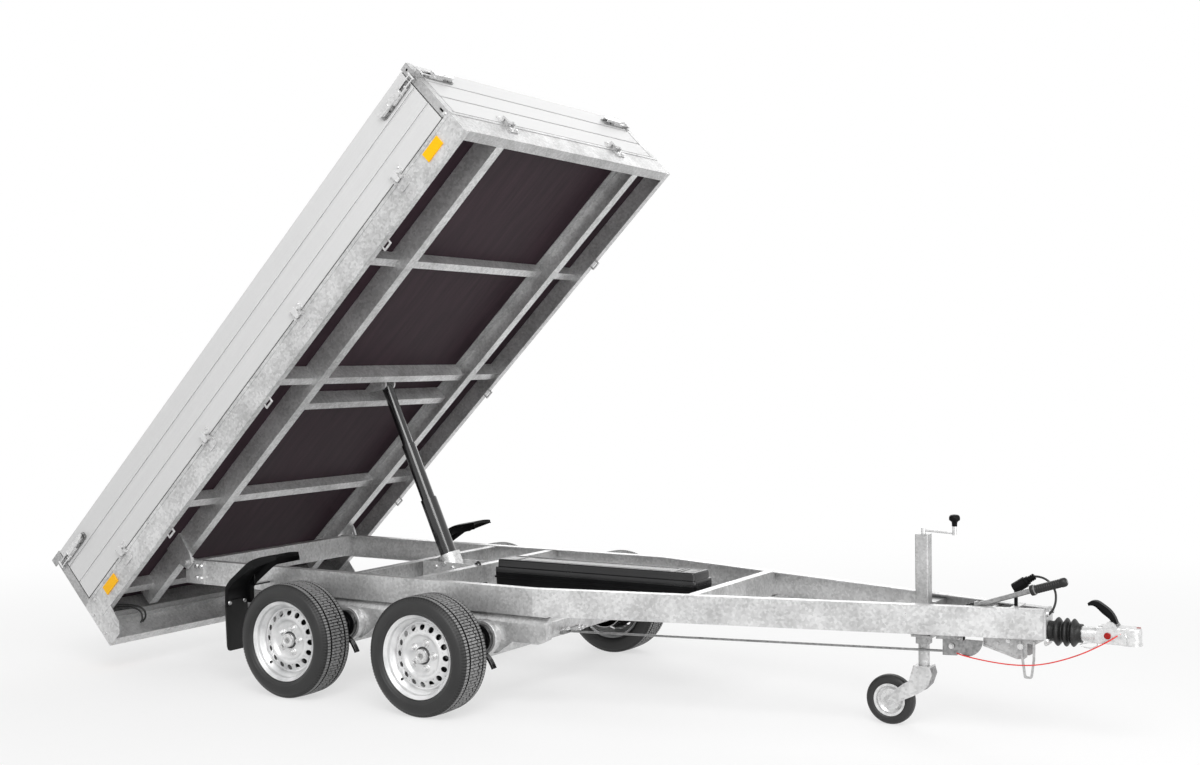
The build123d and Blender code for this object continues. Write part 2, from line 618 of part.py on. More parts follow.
def side_board():
    out = board(board_end(-1), board_end(1), -bed_half, 1, True)
    for u in side_hinges:
        out += side_hinge(bu(u), -bed_half)
    for way in (1, -1):
        out += placed(latch(), board_end(way), way, -bed_half, True)
    return out


def board_right():
    return raised(side_board())


def board_left():
    return raised(mirror(side_board(), Plane.XZ))


def headboard():
    half = bed_half - post - slit
    out = board(-half, half, bu(bed_long), -1, False)
    for y in head_hinges:
        out += Rot(0, 0, 90) * side_hinge(y, -bu(bed_long))
    fast = placed(latch(), half, 1, -bu(bed_long), False)
    return raised(out + fast + mirror(fast, Plane.XZ))


def tailgate():
    half = bed_half - post - slit
    out = board(-half, half, bu(-36), 1, False)
    lug = rod((bu(-50), -half - 14, 460), (bu(-50), 14 - half, 460), 13)
    lug += block(bu(-50), bu(-36), 1 - half, 14 - half, 448, 471)
    out += both(lug - rod((bu(-50), -half - 50, 460), (bu(-50), 30 - half, 460), 8.5))
    return raised(out)


# Cylinder

def lift_line():
    ex, ez = bed(eye_u, eye_w)
    return Vector(foot_x, 0, foot_z), Vector(ex, 0, ez)


def along_lift(d):
    a, b = lift_line()
    p = a + (b - a).normalized() * d
    return p.X, p.Y, p.Z


def lift_length():
    a, b = lift_line()
    return (b - a).length


def barrel():
    out = rod(along_lift(-330), along_lift(44), barrel_r) + rod(along_lift(26), along_lift(44), collar_r)
    out += rod(along_lift(-344), along_lift(-330), barrel_r - 12)
    out -= rod(along_lift(-320), along_lift(60), stage_out[0] + 0.5)
    for side in (-1, 1):
        out += rod((foot_x, side * 50, foot_z), (foot_x, side * 74, foot_z), 12)
    return out


def stage_one():
    return rod(along_lift(-6), along_lift(342), stage_out[0]) - rod(along_lift(-10), along_lift(350), stage_in[0])


def stage_two():
    return rod(along_lift(300), along_lift(640), stage_out[1]) - rod(along_lift(290), along_lift(650), stage_in[1])


def stage_three():
    top = lift_length()
    ex, ez = bed(eye_u, eye_w)
    out = rod(along_lift(604), along_lift(top - 14), stage_out[2])
    out -= block(ex - 60, ex + 60, 22, 60, ez - 40, ez + 60) + block(ex - 60, ex + 60, -60, -22, ez - 40, ez + 60)
    return out + rod((ex, -22, ez), (ex, 22, ez), 26) - rod((ex, -30, ez), (ex, 30, ez), 17.5)


# Cords

def cord(points, r):
    path = Spline([Vector(*p) for p in points])
    return sweep(Plane(origin=path @ 0, z_dir=path % 0) * Circle(r), path=path)


def plug_cable():
    return cord([(2796, -8, 660), (2835, -12, 662), (2880, -18, 620), (2886, -28, 566), (2868, -38, 522), (2851, -40, 512)], 4.5) - plug() - drawbar_head()


def plug():
    a, b, c = (2716, -8, 606), (2760, -8, 636), (2796, -8, 660)
    out = rod(a, b, 22) + rod(b, (2772, -8, 644), 17) + rod((2772, -8, 644), c, 11)
    for s in (0.2, 0.5, 0.8):
        p = tuple(q + s * (r - q) for q, r in zip((2772, -8, 644), c))
        out += rod(p, (p[0] + 3, p[1], p[2] + 2), 13.5)
    return out + block(2716, 2728, -14, -2, 538, 600)


def breakaway_cable():
    points = [(2500, -73, 338), (2506, -79, 334), (2620, -82, 318), (2740, -84, 312), (2850, -82, 325), (2980, -76, 372),
              (3080, -64, 428), (3128, -44, 462), (3131, -40, 464)]
    return cord(points, 2.5) - handbrake() - coupling_head()


nodes = {
    "chassis_rails": rails, "cross_members": cross_members, "pivot_brackets": pivot_brackets,
    "axle_front": lambda: axle(wheel_x), "axle_rear": lambda: axle(-wheel_x), "axle_carriers": carriers,
    "mudguards": mudguards, "power_box": power_box, "power_lid": power_lid, "drawbar_head": drawbar_head,
    "drawbar_skirts": drawbar_skirts, "shackle_loop": shackle_loop,
    "handbrake": handbrake, "brake_rod": brake_rod, "jockey_tube": jockey_tube, "jockey_crank": jockey_crank,
    "jockey_inner": jockey_inner, "jockey_fork": jockey_fork, "jockey_rim": jockey_rim, "jockey_tyre": jockey_tyre,
    "bellows": bellows, "coupling_head": coupling_head, "coupling_handle": coupling_handle,
    "plug": plug, "plug_cable": plug_cable, "breakaway_cable": breakaway_cable,
    "bed_floor": bed_floor, "side_rails": side_rails, "end_rails": end_rails, "bed_beams": bed_beams,
    "cross_bars": cross_bars, "eye_bracket": eye_bracket, "rear_panel": rear_panel,
    "tail_lamps": tail_lamps, "side_reflectors": side_reflectors, "corner_posts": corner_posts, "board_right": board_right, "board_left": board_left,
    "headboard": headboard, "tailgate": tailgate, "barrel": barrel, "stage_one": stage_one,
    "stage_two": stage_two, "stage_three": stage_three,
}
for name, x, side in (("fr", wheel_x, -1), ("rr", -wheel_x, -1), ("fl", wheel_x, 1), ("rl", -wheel_x, 1)):
    nodes["rim_" + name] = lambda x=x, side=side: rim(x, side)
    nodes["tyre_" + name] = lambda x=x, side=side: tyre(x, side)


def main():
    os.makedirs("parts", exist_ok=True)
    for name, make in nodes.items():
        shape = Pos(-mid_x, 0, 0) * make()
        export_step(shape, "parts/" + name + ".step")


if __name__ == "__main__":
    main()
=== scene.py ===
# %% [markdown]
# A tipping trailer with its bed raised.
# The CAD model holds the solids and the joints. This notebook dresses them: it gives every surface a
# finish, and it swaps plain solids for the shapes that the eye looks for, such as a tyre's tread or a
# latch.

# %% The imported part
import math
import bmesh
import bpy
import numpy as np
from mathutils import Matrix, Vector


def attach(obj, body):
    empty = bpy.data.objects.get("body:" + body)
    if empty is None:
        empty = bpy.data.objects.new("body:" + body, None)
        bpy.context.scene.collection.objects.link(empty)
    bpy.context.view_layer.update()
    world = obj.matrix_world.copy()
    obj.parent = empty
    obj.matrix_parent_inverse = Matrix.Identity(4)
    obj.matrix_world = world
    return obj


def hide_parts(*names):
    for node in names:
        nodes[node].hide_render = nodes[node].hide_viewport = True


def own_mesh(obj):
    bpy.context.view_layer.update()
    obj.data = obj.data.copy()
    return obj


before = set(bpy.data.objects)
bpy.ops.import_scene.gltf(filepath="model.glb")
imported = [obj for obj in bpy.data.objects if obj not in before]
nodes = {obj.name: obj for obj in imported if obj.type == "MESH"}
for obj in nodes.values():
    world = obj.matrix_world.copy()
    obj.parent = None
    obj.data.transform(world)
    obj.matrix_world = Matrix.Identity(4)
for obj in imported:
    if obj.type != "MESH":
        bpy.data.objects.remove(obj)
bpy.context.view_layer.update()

# %% [markdown]
# The trailer was drawn in millimetres, with X from the middle of the two axles. The model stands 623 mm
# further back and counts in metres. Each piece below is worked out in drawing millimetres and brought over
# by one of two functions: at() for the chassis, and on_bed() for the raised bed, which has its own level
# drawing.

# %% From drawing millimetres to the model
MID_X = 623
TIP = math.radians(44.4)
PIVOT = (-1275, 540)
BED_REAR = 431
BOTH = (-1, 1)
SIDES = ((-1, "right"), (1, "left"))


def at(points):
    """Drawing millimetres to model metres: X less 623, then all divided by a thousand."""
    p = np.asarray(points, float)
    return (p - (MID_X, 0, 0)) / 1000


def on_bed(points):
    """Bed millimetres (from its rear end, across, up from the pivot's line) turned by the tip angle."""
    p = np.asarray(points, float)
    s, w = p[..., 0] - BED_REAR, p[..., 2]
    x = PIVOT[0] + s * math.cos(TIP) - w * math.sin(TIP)
    z = PIVOT[1] + s * math.sin(TIP) + w * math.cos(TIP)
    return at(np.stack([x, p[..., 1], z], -1))


print("bed front edge:", np.round(on_bed([(3200, -900, 157)]), 3))

# %% [markdown]
# The camera stands where the photographer stood: in front, to the right, a little above the rails. A camera
# is found by trying positions until points measured on the picture fall on the same points of the model.
# Its lens follows from the picture's width and the distance in pixels that the fit gave.

# %% The camera
YAW, PITCH, ROLL = math.radians(31.103), math.radians(-0.874), math.radians(-0.548)
PICTURE_WIDTH, FOCAL_PIXELS, SENSOR = 1200, 1484.387, 36
look = Vector((-math.sin(YAW) * math.cos(PITCH), math.cos(YAW) * math.cos(PITCH), math.sin(PITCH)))
level = look.cross(Vector((0, 0, 1))).normalized()
upright = level.cross(look)
rightward = level * math.cos(ROLL) + upright * math.sin(ROLL)
upward = upright * math.cos(ROLL) - level * math.sin(ROLL)
camera = bpy.data.objects.new("camera", bpy.data.cameras.new("camera"))
camera.data.sensor_width = SENSOR
camera.data.lens = SENSOR * FOCAL_PIXELS / PICTURE_WIDTH
camera.data.clip_end = 200
turned = Matrix((rightward, upward, -look)).transposed().to_4x4()
camera.matrix_world = Matrix.Translation((3.742, -5.938, 1.537)) @ turned
bpy.context.scene.collection.objects.link(camera)
bpy.context.scene.camera = camera
print("lens mm:", round(camera.data.lens, 2))

# %% [markdown]
# A finish is a material made of nodes. Colours are written as they look on a screen, and the shader wants
# them in proportion to light, so one function turns them. One adds a node with its settings and links. The
# last one feeds the shader with what every finish here has: two shades over a pattern, roughness that
# follows a pattern, and relief.

# %% Helpers for finishes
SOCKETS = {"metal": "Metallic", "rough": "Roughness", "coat": "Coat Weight", "coat_rough": "Coat Roughness",
           "colour": "Base Color", "gloss": "Specular IOR Level"}


def tone(code):
    """A screen colour such as 8F8F8F as linear red, green, blue and alpha."""
    c = np.array([int(code[i:i + 2], 16) for i in (0, 2, 4)]) / 255
    linear = np.where(c <= 0.04045, c / 12.92, ((c + 0.055) / 1.055) ** 2.4)
    return (*(float(v) for v in linear), 1.0)


def add(tree, kind, inputs=None, **settings):
    """Adds a shader node, sets its settings, and feeds its inputs with values or other nodes' outputs."""
    made = tree.nodes.new("ShaderNode" + kind)
    for key, value in settings.items():
        setattr(made, key, value)
    for key, value in (inputs or {}).items():
        if isinstance(value, bpy.types.NodeSocket):
            tree.links.new(value, made.inputs[key])
        else:
            made.inputs[key].default_value = value
    return made


def finish(name):
    """A new material with its tree, its shader and its Object coordinates, ready for links."""
    made = bpy.data.materials.new(name)
    made.use_nodes = True
    tree = made.node_tree
    return made, tree, tree.nodes["Principled BSDF"], add(tree, "TexCoord").outputs["Object"]


def set_values(shader, **values):
    """Constant values on the shader's own sockets."""
    for key, value in values.items():
        shader.inputs[SOCKETS[key]].default_value = value


def dress(tree, shader, shade, stops, rough=None, relief=None):
    """Shades from two (place, colour) stops, roughness (pattern, low, high), relief (pattern, metres)."""
    ramp = add(tree, "ValToRGB", {"Fac": shade})
    for element, (place, code) in zip(ramp.color_ramp.elements, stops):
        element.position = place
        element.color = tone(code)
    tree.links.new(ramp.outputs["Color"], shader.inputs["Base Color"])
    if rough:
        spread = add(tree, "MapRange", {"Value": rough[0], "To Min": rough[1], "To Max": rough[2]})
        tree.links.new(spread.outputs["Result"], shader.inputs["Roughness"])
    if relief:
        raised = add(tree, "Bump", {"Height": relief[0], "Distance": relief[1], "Strength": 1.0})
        tree.links.new(raised.outputs["Normal"], shader.inputs["Normal"])


print("mid grey in light:", round(tone("808080")[0], 3))

# %% [markdown]
# The frame is mild steel, dipped in molten zinc after it was welded. The zinc freezes in flat crystals of 8
# to 15 mm, called spangle, each with its own grey, and drains off in cloudy runs. Cells of a Voronoi
# pattern give the crystals, and a slow noise gives the clouds. The rails are bright. The posts and the end
# rails get a darker copy with smaller crystals: its darker greys are painted shade, which keeps their
# strongly lit faces from turning white.

# %% Hot-dip galvanised steel


def galvanised(name, light, dark, cell=0.011):
    """Hot-dip zinc between two greys: crystals of a size in metres, clouds of 140 mm and specks of 14 mm."""
    made, tree, shader, place = finish(name)
    crystals = add(tree, "TexVoronoi", {"Vector": place, "Scale": 1 / cell, "Randomness": 1.0})
    grey = add(tree, "SeparateColor", {"Color": crystals.outputs["Color"]}).outputs["Red"]
    clouds = add(tree, "TexNoise", {"Vector": place, "Scale": 7.0, "Detail": 4.0}).outputs["Fac"]
    fine = add(tree, "TexNoise", {"Vector": place, "Scale": 70.0, "Detail": 3.0}).outputs["Fac"]
    mixed = add(tree, "Math", {0: grey, 1: 0.24}, operation="MULTIPLY").outputs[0]
    mixed = add(tree, "Math", {0: clouds, 1: 0.7, 2: mixed}, operation="MULTIPLY_ADD").outputs[0]
    mixed = add(tree, "Math", {0: fine, 1: 0.2, 2: mixed}, operation="MULTIPLY_ADD").outputs[0]
    dress(tree, shader, mixed, [(0.36, dark), (0.78, light)], (mixed, 0.48, 0.34), (fine, 0.0003))
    set_values(shader, metal=0.6)
    return made


steel_frame = galvanised("galvanised_steel", "DEDEDE", "B0B0B0")
# The darker copy is painted shade for the posts and end rails, which the lamps light strongly.
shaded_frame = galvanised("galvanised_steel_painted_shade", "C6C6C6", "9C9C9C", 0.008)
print("finishes:", steel_frame.name, shaded_frame.name)

# %% [markdown]
# Bolts, latches and the drawbar's fittings are plated with a thin layer of zinc in a bath. That layer is
# even and brighter than dipped zinc, so it gets a weak fine pattern and less roughness. The handbrake, its
# rod and the bases of the latches are greyer.

# %% Zinc-plated steel


def plated(name, light, dark, rough):
    """Electroplated zinc: nearly even colour, with a fine cloud of 15 mm in its roughness."""
    made, tree, shader, place = finish(name)
    clouds = add(tree, "TexNoise", {"Vector": place, "Scale": 65.0, "Detail": 4.0}).outputs["Fac"]
    dress(tree, shader, clouds, [(0.3, dark), (0.7, light)], (clouds, rough - 0.06, rough + 0.1))
    set_values(shader, metal=0.82)
    return made


bright_zinc = plated("zinc_plated_steel", "E6E6E6", "CACACA", 0.26)
grey_zinc = plated("grey_zinc_plated_steel", "A8A8A8", "7C7C7C", 0.34)
print("finishes:", bright_zinc.name, grey_zinc.name)

# %% [markdown]
# The boards are hollow aluminium extrusions with a satin anodised skin. The die leaves fine lines along the
# board, about a millimetre apart. They are drawn 2.5 mm apart here so that they show, as noise that is
# stretched 200 times along the board.

# %% Anodised aluminium


def extruded(name, light, dark, across):
    """Anodised extrusion: noise stretched along the board, which runs across the bed or along it."""
    made, tree, shader, place = finish(name)
    level_bed = add(tree, "VectorRotate", {"Vector": place, "Angle": TIP}, rotation_type="Y_AXIS")
    scale = (400.0, 2.0, 400.0) if across else (2.0, 400.0, 400.0)
    lines = add(tree, "VectorMath", {0: level_bed.outputs[0], 1: scale}, operation="MULTIPLY")
    lines = add(tree, "TexNoise", {"Vector": lines.outputs[0], "Scale": 1.0, "Detail": 2.0})
    lines = lines.outputs["Fac"]
    dress(tree, shader, lines, [(0.2, dark), (0.8, light)], (lines, 0.42, 0.52))
    set_values(shader, metal=0.35)
    return made


side_aluminium = extruded("anodised_aluminium_side", "DCDCDC", "D5D5D5", False)
# The headboard and tailgate get the same aluminium a little darker: painted shade, as the lamps light their
# faces more strongly than the sides.
shaded_end_aluminium = extruded("anodised_aluminium_end_painted_shade", "D2D2D2", "CBCBCB", True)
print("finishes:", side_aluminium.name, shaded_end_aluminium.name)

# %% [markdown]
# The floor is birch plywood with a dark brown film of phenolic resin pressed on both faces. The hot plate
# leaves a woven texture of about 3 mm, and the film shows faint waves of the veneer below.

# %% Film-faced plywood
floor_ply, tree, shader, place = finish("phenolic_film_plywood")
stretched = add(tree, "VectorMath", {0: place, 1: (1.0, 9.0, 1.0)}, operation="MULTIPLY").outputs[0]
veneer = add(tree, "TexNoise", {"Vector": stretched, "Scale": 4.0, "Detail": 6.0}).outputs["Fac"]
weave = add(tree, "TexNoise", {"Vector": place, "Scale": 330.0, "Detail": 1.0}).outputs["Fac"]
film = add(tree, "Math", {0: weave, 1: 0.3, 2: veneer}, operation="MULTIPLY_ADD").outputs[0]
dress(tree, shader, film, [(0.3, "1C0E16"), (0.95, "332029")], (weave, 0.5, 0.65), (weave, 0.0003))
set_values(shader, gloss=0.22)
print("finish:", floor_ply.name)

# %% [markdown]
# Black parts are of four kinds. The power box and the mudguards are moulded polypropylene with a grained
# skin, and the box's lid is greyed by the sun. The cylinder and the swing arms are steel with gloss paint;
# the brake drums get the same gloss black as painted shade, so that the wheels' vents look dark. Tyres are
# rubber with carbon: shiny on the wall, pale on the tread with a painted sheen, and near-black in its
# grooves with painted shade. The bellows and the grips are soft rubber.

# %% Black plastics, paint and rubber


def grained(name, light, dark, rough, grain, depth, gloss=0.5):
    """A dark skin with a moulded grain of the given size in metres and slow changes of its shade."""
    made, tree, shader, place = finish(name)
    grains = add(tree, "TexNoise", {"Vector": place, "Scale": 1 / grain, "Detail": 2.0}).outputs["Fac"]
    slow = add(tree, "TexNoise", {"Vector": place, "Scale": 9.0, "Detail": 4.0}).outputs["Fac"]
    dress(tree, shader, slow, [(0.3, dark), (0.7, light)], (slow, rough - 0.05, rough + 0.08),
          (grains, depth))
    set_values(shader, gloss=gloss)
    return made


black_plastic = grained("moulded_polypropylene", "101011", "09090A", 0.42, 0.0012, 0.00012, 0.12)
lid_plastic = grained("sun_greyed_polypropylene", "202021", "171718", 0.24, 0.0012, 0.00008)
tyre_rubber = grained("tyre_wall_rubber", "282828", "1D1D1D", 0.48, 0.0025, 0.0002)
# The tread's pale grey is a painted sheen, and the grooves' near-black is painted shade.
painted_sheen_tread = grained("painted_sheen_tread_rubber", "8E8E8E", "767676", 0.6, 0.0025, 0.0002)
groove_rubber_painted_shade = grained("groove_rubber_painted_shade", "0C0C0C", "070707", 0.7, 0.0025, 0.0002, 0.1)
soft_rubber = grained("bellows_rubber", "1A1A1A", "101010", 0.42, 0.002, 0.0001, 0.4)
gloss_paint = grained("gloss_black_paint", "131314", "0C0C0D", 0.18, 0.004, 0.00004)
set_values(gloss_paint.node_tree.nodes["Principled BSDF"], coat=0.6, coat_rough=0.08)
print("finishes:", black_plastic.name, tyre_rubber.name, soft_rubber.name, gloss_paint.name)

# %% [markdown]
# The rims are pressed steel, sprayed silver. Such paint holds flakes of aluminium about half a millimetre
# apart, here drawn at 1.5 mm so that they show. Lamps and reflectors are moulded acrylic, clear through,
# with prisms behind a glossy face.

# %% Silver paint and acrylic


def sprayed(name, light, dark):
    """Silver paint: bright flakes in a grey ground under a thin clear coat."""
    made, tree, shader, place = finish(name)
    flakes = add(tree, "TexVoronoi", {"Vector": place, "Scale": 650.0}).outputs["Distance"]
    slow = add(tree, "TexNoise", {"Vector": place, "Scale": 12.0, "Detail": 3.0}).outputs["Fac"]
    mixed = add(tree, "Math", {0: flakes, 1: 0.25, 2: slow}, operation="MULTIPLY_ADD").outputs[0]
    dress(tree, shader, mixed, [(0.35, dark), (0.75, light)], (mixed, 0.3, 0.4))
    set_values(shader, metal=0.5, coat=0.3, coat_rough=0.15)
    return made


def acrylic(name, light, dark, prism):
    """Moulded acrylic: rows of prisms of the given size in metres behind a glossy face."""
    made, tree, shader, place = finish(name)
    cells = add(tree, "TexVoronoi", {"Vector": place, "Scale": 1 / prism, "Randomness": 0.15})
    cells = cells.outputs["Distance"]
    dress(tree, shader, cells, [(0.0, light), (0.8, dark)], relief=(cells, 0.0003))
    set_values(shader, rough=0.3, coat=0.05, coat_rough=0.05, gloss=0.25)
    return made


wheel_silver = sprayed("sprayed_silver", "E8E8E8", "BABBBC")
lamp_red = acrylic("red_acrylic", "B3140F", "6E0705", 0.006)
amber = acrylic("amber_acrylic", "FFCE00", "FFAA00", 0.006)
print("finishes:", wheel_silver.name, lamp_red.name, amber.name)

# %% [markdown]
# Cable jackets are extruded PVC, glossier than rubber, with a faint wave where they were drawn through the
# die.

# %% Cable jackets


def jacket(name, light, dark):
    """Extruded PVC with a slow change of shade along it and a smooth skin."""
    made, tree, shader, place = finish(name)
    slow = add(tree, "TexNoise", {"Vector": place, "Scale": 25.0, "Detail": 2.0}).outputs["Fac"]
    dress(tree, shader, slow, [(0.3, dark), (0.7, light)], (slow, 0.28, 0.4))
    return made


cable_red = jacket("red_pvc", "E02A22", "C61C16")
cable_black = jacket("black_pvc", "222222", "151515")
print("finishes:", cable_red.name, cable_black.name)

# %% [markdown]
# Two free cords hang at the drawbar: the lamp cable, from its parked plug down to the front plate, and the
# thin red breakaway line, from the handbrake's bracket in a low arc to the coupling. Each is one smooth
# curve with a few control points and a round bevel, because a cable takes such a line under its own weight.

# %% The two cords


def cable(name, points, diameter, material, node):
    """A NURBS curve of order 3 through the ends of its control points, given in drawing millimetres."""
    data = bpy.data.curves.new(name, "CURVE")
    data.dimensions = "3D"
    data.bevel_depth = diameter / 2
    data.bevel_resolution = 4
    data.resolution_u = 12
    line = data.splines.new("NURBS")
    line.points.add(len(points) - 1)
    spots = at(points)
    line.points.foreach_set("co", np.column_stack([spots, np.ones(len(spots))]).ravel())
    line.order_u = 3
    line.use_endpoint_u = True
    piece = bpy.data.objects.new(name, data)
    bpy.context.scene.collection.objects.link(piece)
    data.materials.append(material)
    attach(piece, "chassis")
    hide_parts(node)
    bare = data.copy()
    bare.bevel_depth = 0
    probe = bpy.data.objects.new("probe", bare)
    line_mesh = bpy.data.meshes.new_from_object(probe)
    bpy.data.objects.remove(probe)


plug_to_plate = [
    (2796, -8, 660), (2835, -12, 662), (2880, -18, 620), (2886, -28, 566), (2868, -38, 522),
    (2851, -40, 512)]
cable("lamp_cable", plug_to_plate, 0.009, cable_black, "plug_cable")
bracket_to_coupling = [
    (2500, -73, 338), (2506, -79, 334), (2620, -82, 318), (2740, -84, 312), (2850, -82, 325),
    (2980, -76, 372), (3080, -64, 428), (3128, -44, 462), (3131, -40, 464)]
cable("breakaway_line", bracket_to_coupling, 0.005, cable_red,
      "breakaway_cable")

# %% [markdown]
# Every new piece is a surface: points worked out as whole arrays, and faces between neighbouring points.
# One helper counts the faces of a grid of points, and another joins several shapes into one.

# %% Faces of a grid


def grid_faces(rows, columns, ring_rows=False, ring_columns=False):
    """Faces between neighbours of a grid. A ring's last row or column is joined to its first."""
    i = np.arange(rows if ring_rows else rows - 1)[:, None]
    j = np.arange(columns if ring_columns else columns - 1)[None, :]
    i2, j2 = (i + 1) % rows, (j + 1) % columns
    corners = (i * columns + j, i2 * columns + j, i2 * columns + j2, i * columns + j2)
    return np.stack(np.broadcast_arrays(*corners), -1).reshape(-1, 4).tolist()


def merge(*shapes):
    """Several shapes as one: their points in a row, and their faces counted on."""
    points, faces, shift = [], [], 0
    for p, f in shapes:
        points.append(np.asarray(p, float).reshape(-1, 3))
        faces += [[v + shift for v in face] for face in f]
        shift += len(points[-1])
    return np.concatenate(points), faces


print("faces of a ring of 3 by 4 points:", len(grid_faces(3, 4, False, True)))

# %% [markdown]
# Two ways of carrying a profile make nearly all of the pieces: round an axis, as on a lathe, and along a
# path. A path through a few points is made smooth first.

# %% Smooth lines, lathe and sweep


def smooth_line(points, steps=8):
    """A Catmull-Rom curve: between two points, a cubic with slopes from the points before and after."""
    p = np.asarray(points, float)
    p = np.vstack([2 * p[0] - p[1], p, 2 * p[-1] - p[-2]])
    t = np.linspace(0, 1, steps, endpoint=False)[:, None, None]
    a, b, c, d = p[:-3], p[1:-2], p[2:-1], p[3:]
    line = 0.5 * (2 * b + (c - a) * t + (2 * a - 5 * b + 4 * c - d) * t ** 2
                  + (3 * b - a - 3 * c + d) * t ** 3)
    return np.vstack([line.transpose(1, 0, 2).reshape(-1, p.shape[1]), p[-2]])


def lathe(profile, centre, axis="y", turns=64, ring=True, side=1):
    """Radius r and distance s (times side) along an axis: the points r cos t and r sin t at the height s."""
    r, s = np.asarray(profile, float).T
    t = np.linspace(0, 2 * np.pi, turns, endpoint=False)
    a, b = r[:, None] * np.cos(t), r[:, None] * np.sin(t)
    along = side * s[:, None] + 0 * t
    order = {"x": (along, a, b), "y": (b, along, a), "z": (a, b, along)}[axis]
    return np.stack(order, -1).reshape(-1, 3) + centre, grid_faces(len(r), turns, ring, True)


def sweep(outline, path, up=(0, 0, 1)):
    """An outline carried along a path: the path's point plus a times its side and b times its top."""
    path, o = np.asarray(path, float), np.asarray(outline, float)
    way = np.gradient(path, axis=0) if len(path) > 2 else np.repeat(path[1:] - path[:1], 2, 0)
    way /= np.linalg.norm(way, axis=1)[:, None]
    beside = np.cross(way, up)
    beside /= np.linalg.norm(beside, axis=1)[:, None]
    over = np.cross(beside, way)
    points = path[:, None] + o[None, :, 0, None] * beside[:, None] + o[None, :, 1, None] * over[:, None]
    k, n = len(o), len(path)
    ends = [list(range(k))[::-1], list(range((n - 1) * k, n * k))]
    return points.reshape(-1, 3), grid_faces(n, k, False, True) + ends


print("points of a smooth line through 3:", len(smooth_line([(0, 0), (1, 1), (2, 0)])))

# %% [markdown]
# Plates, bars and bolts are short forms of the sweep. A bolt shows its washer, its hexagon head and
# sometimes the end of its stud.

# %% Plates, bars and bolts
WASHER = 1.8


def plate(outline, y0, y1):
    """A plate with an outline in X and Z, between two places across the trailer."""
    return sweep(outline, [(0, min(y0, y1), 0), (0, max(y0, y1), 0)])


def block(x0, x1, y0, y1, z0, z1):
    """A rectangular block."""
    return plate([(x0, z0), (x1, z0), (x1, z1), (x0, z1)], y0, y1)


def circle(r, n=16):
    """Points of a circle: r cos t and r sin t."""
    t = np.linspace(0, 2 * np.pi, n, endpoint=False)
    return np.stack([r * np.cos(t), r * np.sin(t)], -1)


def rod(a, b, r, n=16):
    """A round bar between two points."""
    way = np.subtract(b, a)
    return sweep(circle(r, n), [a, b], (0, 0, 1) if abs(way[2]) < 0.9 * np.linalg.norm(way) else (1, 0, 0))


def bent(points, r):
    """A round bar through points on a smooth curve."""
    return sweep(circle(r, 12), smooth_line(points), (0.03, 0.02, 1))


def bolt(place, out, size, head, stud=0):
    """A hexagon head on its washer, size across its flats, and the stud's end where it shows."""
    place, out = np.asarray(place, float), np.asarray(out, float) / np.linalg.norm(out)
    up = (0, 0, 1) if abs(out[2]) < 0.9 else (1, 0, 0)
    face = place + out * WASHER
    parts = [sweep(circle(size * 0.72, 16), [place - out, face], up),
             sweep(circle(size / math.sqrt(3), 6), [face, place + out * (WASHER + head)], up)]
    if stud:
        parts.append(sweep(circle(size * 0.3, 12), [place, place + out * (head + WASHER + stud)], up))
    return merge(*parts)


print("faces of a bolt:", len(bolt((0, 0, 0), (0, 1, 0), 16, 7)[1]))

# %% [markdown]
# A shape becomes a piece here. Its doubles are merged, which also closes the poles of a lathe, and its
# faces are turned outward before a modifier gives it a wall or rounds its edges. It then gets its body and
# its slot, and the CAD solids that it stands for are hidden.

# %% From shape to piece


def build(name, shape, material, body, replaces=(), on=at, bevel=0.0, smooth=32, wall=0.0):
    """Makes the mesh, smooth below an angle in degrees, with a wall or a bevel in millimetres."""
    points, faces = shape
    data = bpy.data.meshes.new(name)
    data.from_pydata(on(points).tolist(), [], faces)
    work = bmesh.new()
    work.from_mesh(data)
    bmesh.ops.remove_doubles(work, verts=work.verts, dist=0.00002)
    bmesh.ops.recalc_face_normals(work, faces=work.faces)
    work.to_mesh(data)
    work.free()
    data.shade_smooth()
    data.set_sharp_from_angle(angle=math.radians(smooth))
    data.materials.append(material)
    piece = bpy.data.objects.new(name, data)
    bpy.context.scene.collection.objects.link(piece)
    if wall:
        thick = piece.modifiers.new("wall", "SOLIDIFY")
        thick.thickness, thick.offset = wall / 1000, -1
    if bevel:
        edge = piece.modifiers.new("edge", "BEVEL")
        edge.width, edge.segments, edge.limit_method = bevel / 1000, 2, "ANGLE"
        edge.angle_limit = math.radians(40)
    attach(piece, body)
    if replaces:
        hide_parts(*replaces)
    print(name, "faces:", len(data.polygons))
    return piece

# %% [markdown]
# A road tyre is one profile carried round the axle. The tread is cut into it by moving points inward: four
# grooves run round it, the two inner ones in a zigzag, and fine cuts cross the ribs and the shoulders. The
# grid's own lines follow the zigzag, so that each groove keeps crisp walls with few faces. Faces on the
# tread get a pale finish that is a painted sheen, and faces in its grooves a near-black one that is painted
# shade.

# %% Tyres
HUB_X, WHEEL_Y, TYRE_R = 385, 813, 262.5
HUBS = (-HUB_X, HUB_X)
WHEELS = {"fr": (HUB_X, -1, "wheel_front_right"), "rr": (-HUB_X, -1, "wheel_rear_right"),
          "fl": (HUB_X, 1, "wheel_front_left"), "rl": (-HUB_X, 1, "wheel_rear_left")}
TREAD_HALF, GROOVES_HALF = 71, 66
PITCHES = 58
CUT = {"rib": 5, "groove": 0, "shoulder": 4.5}


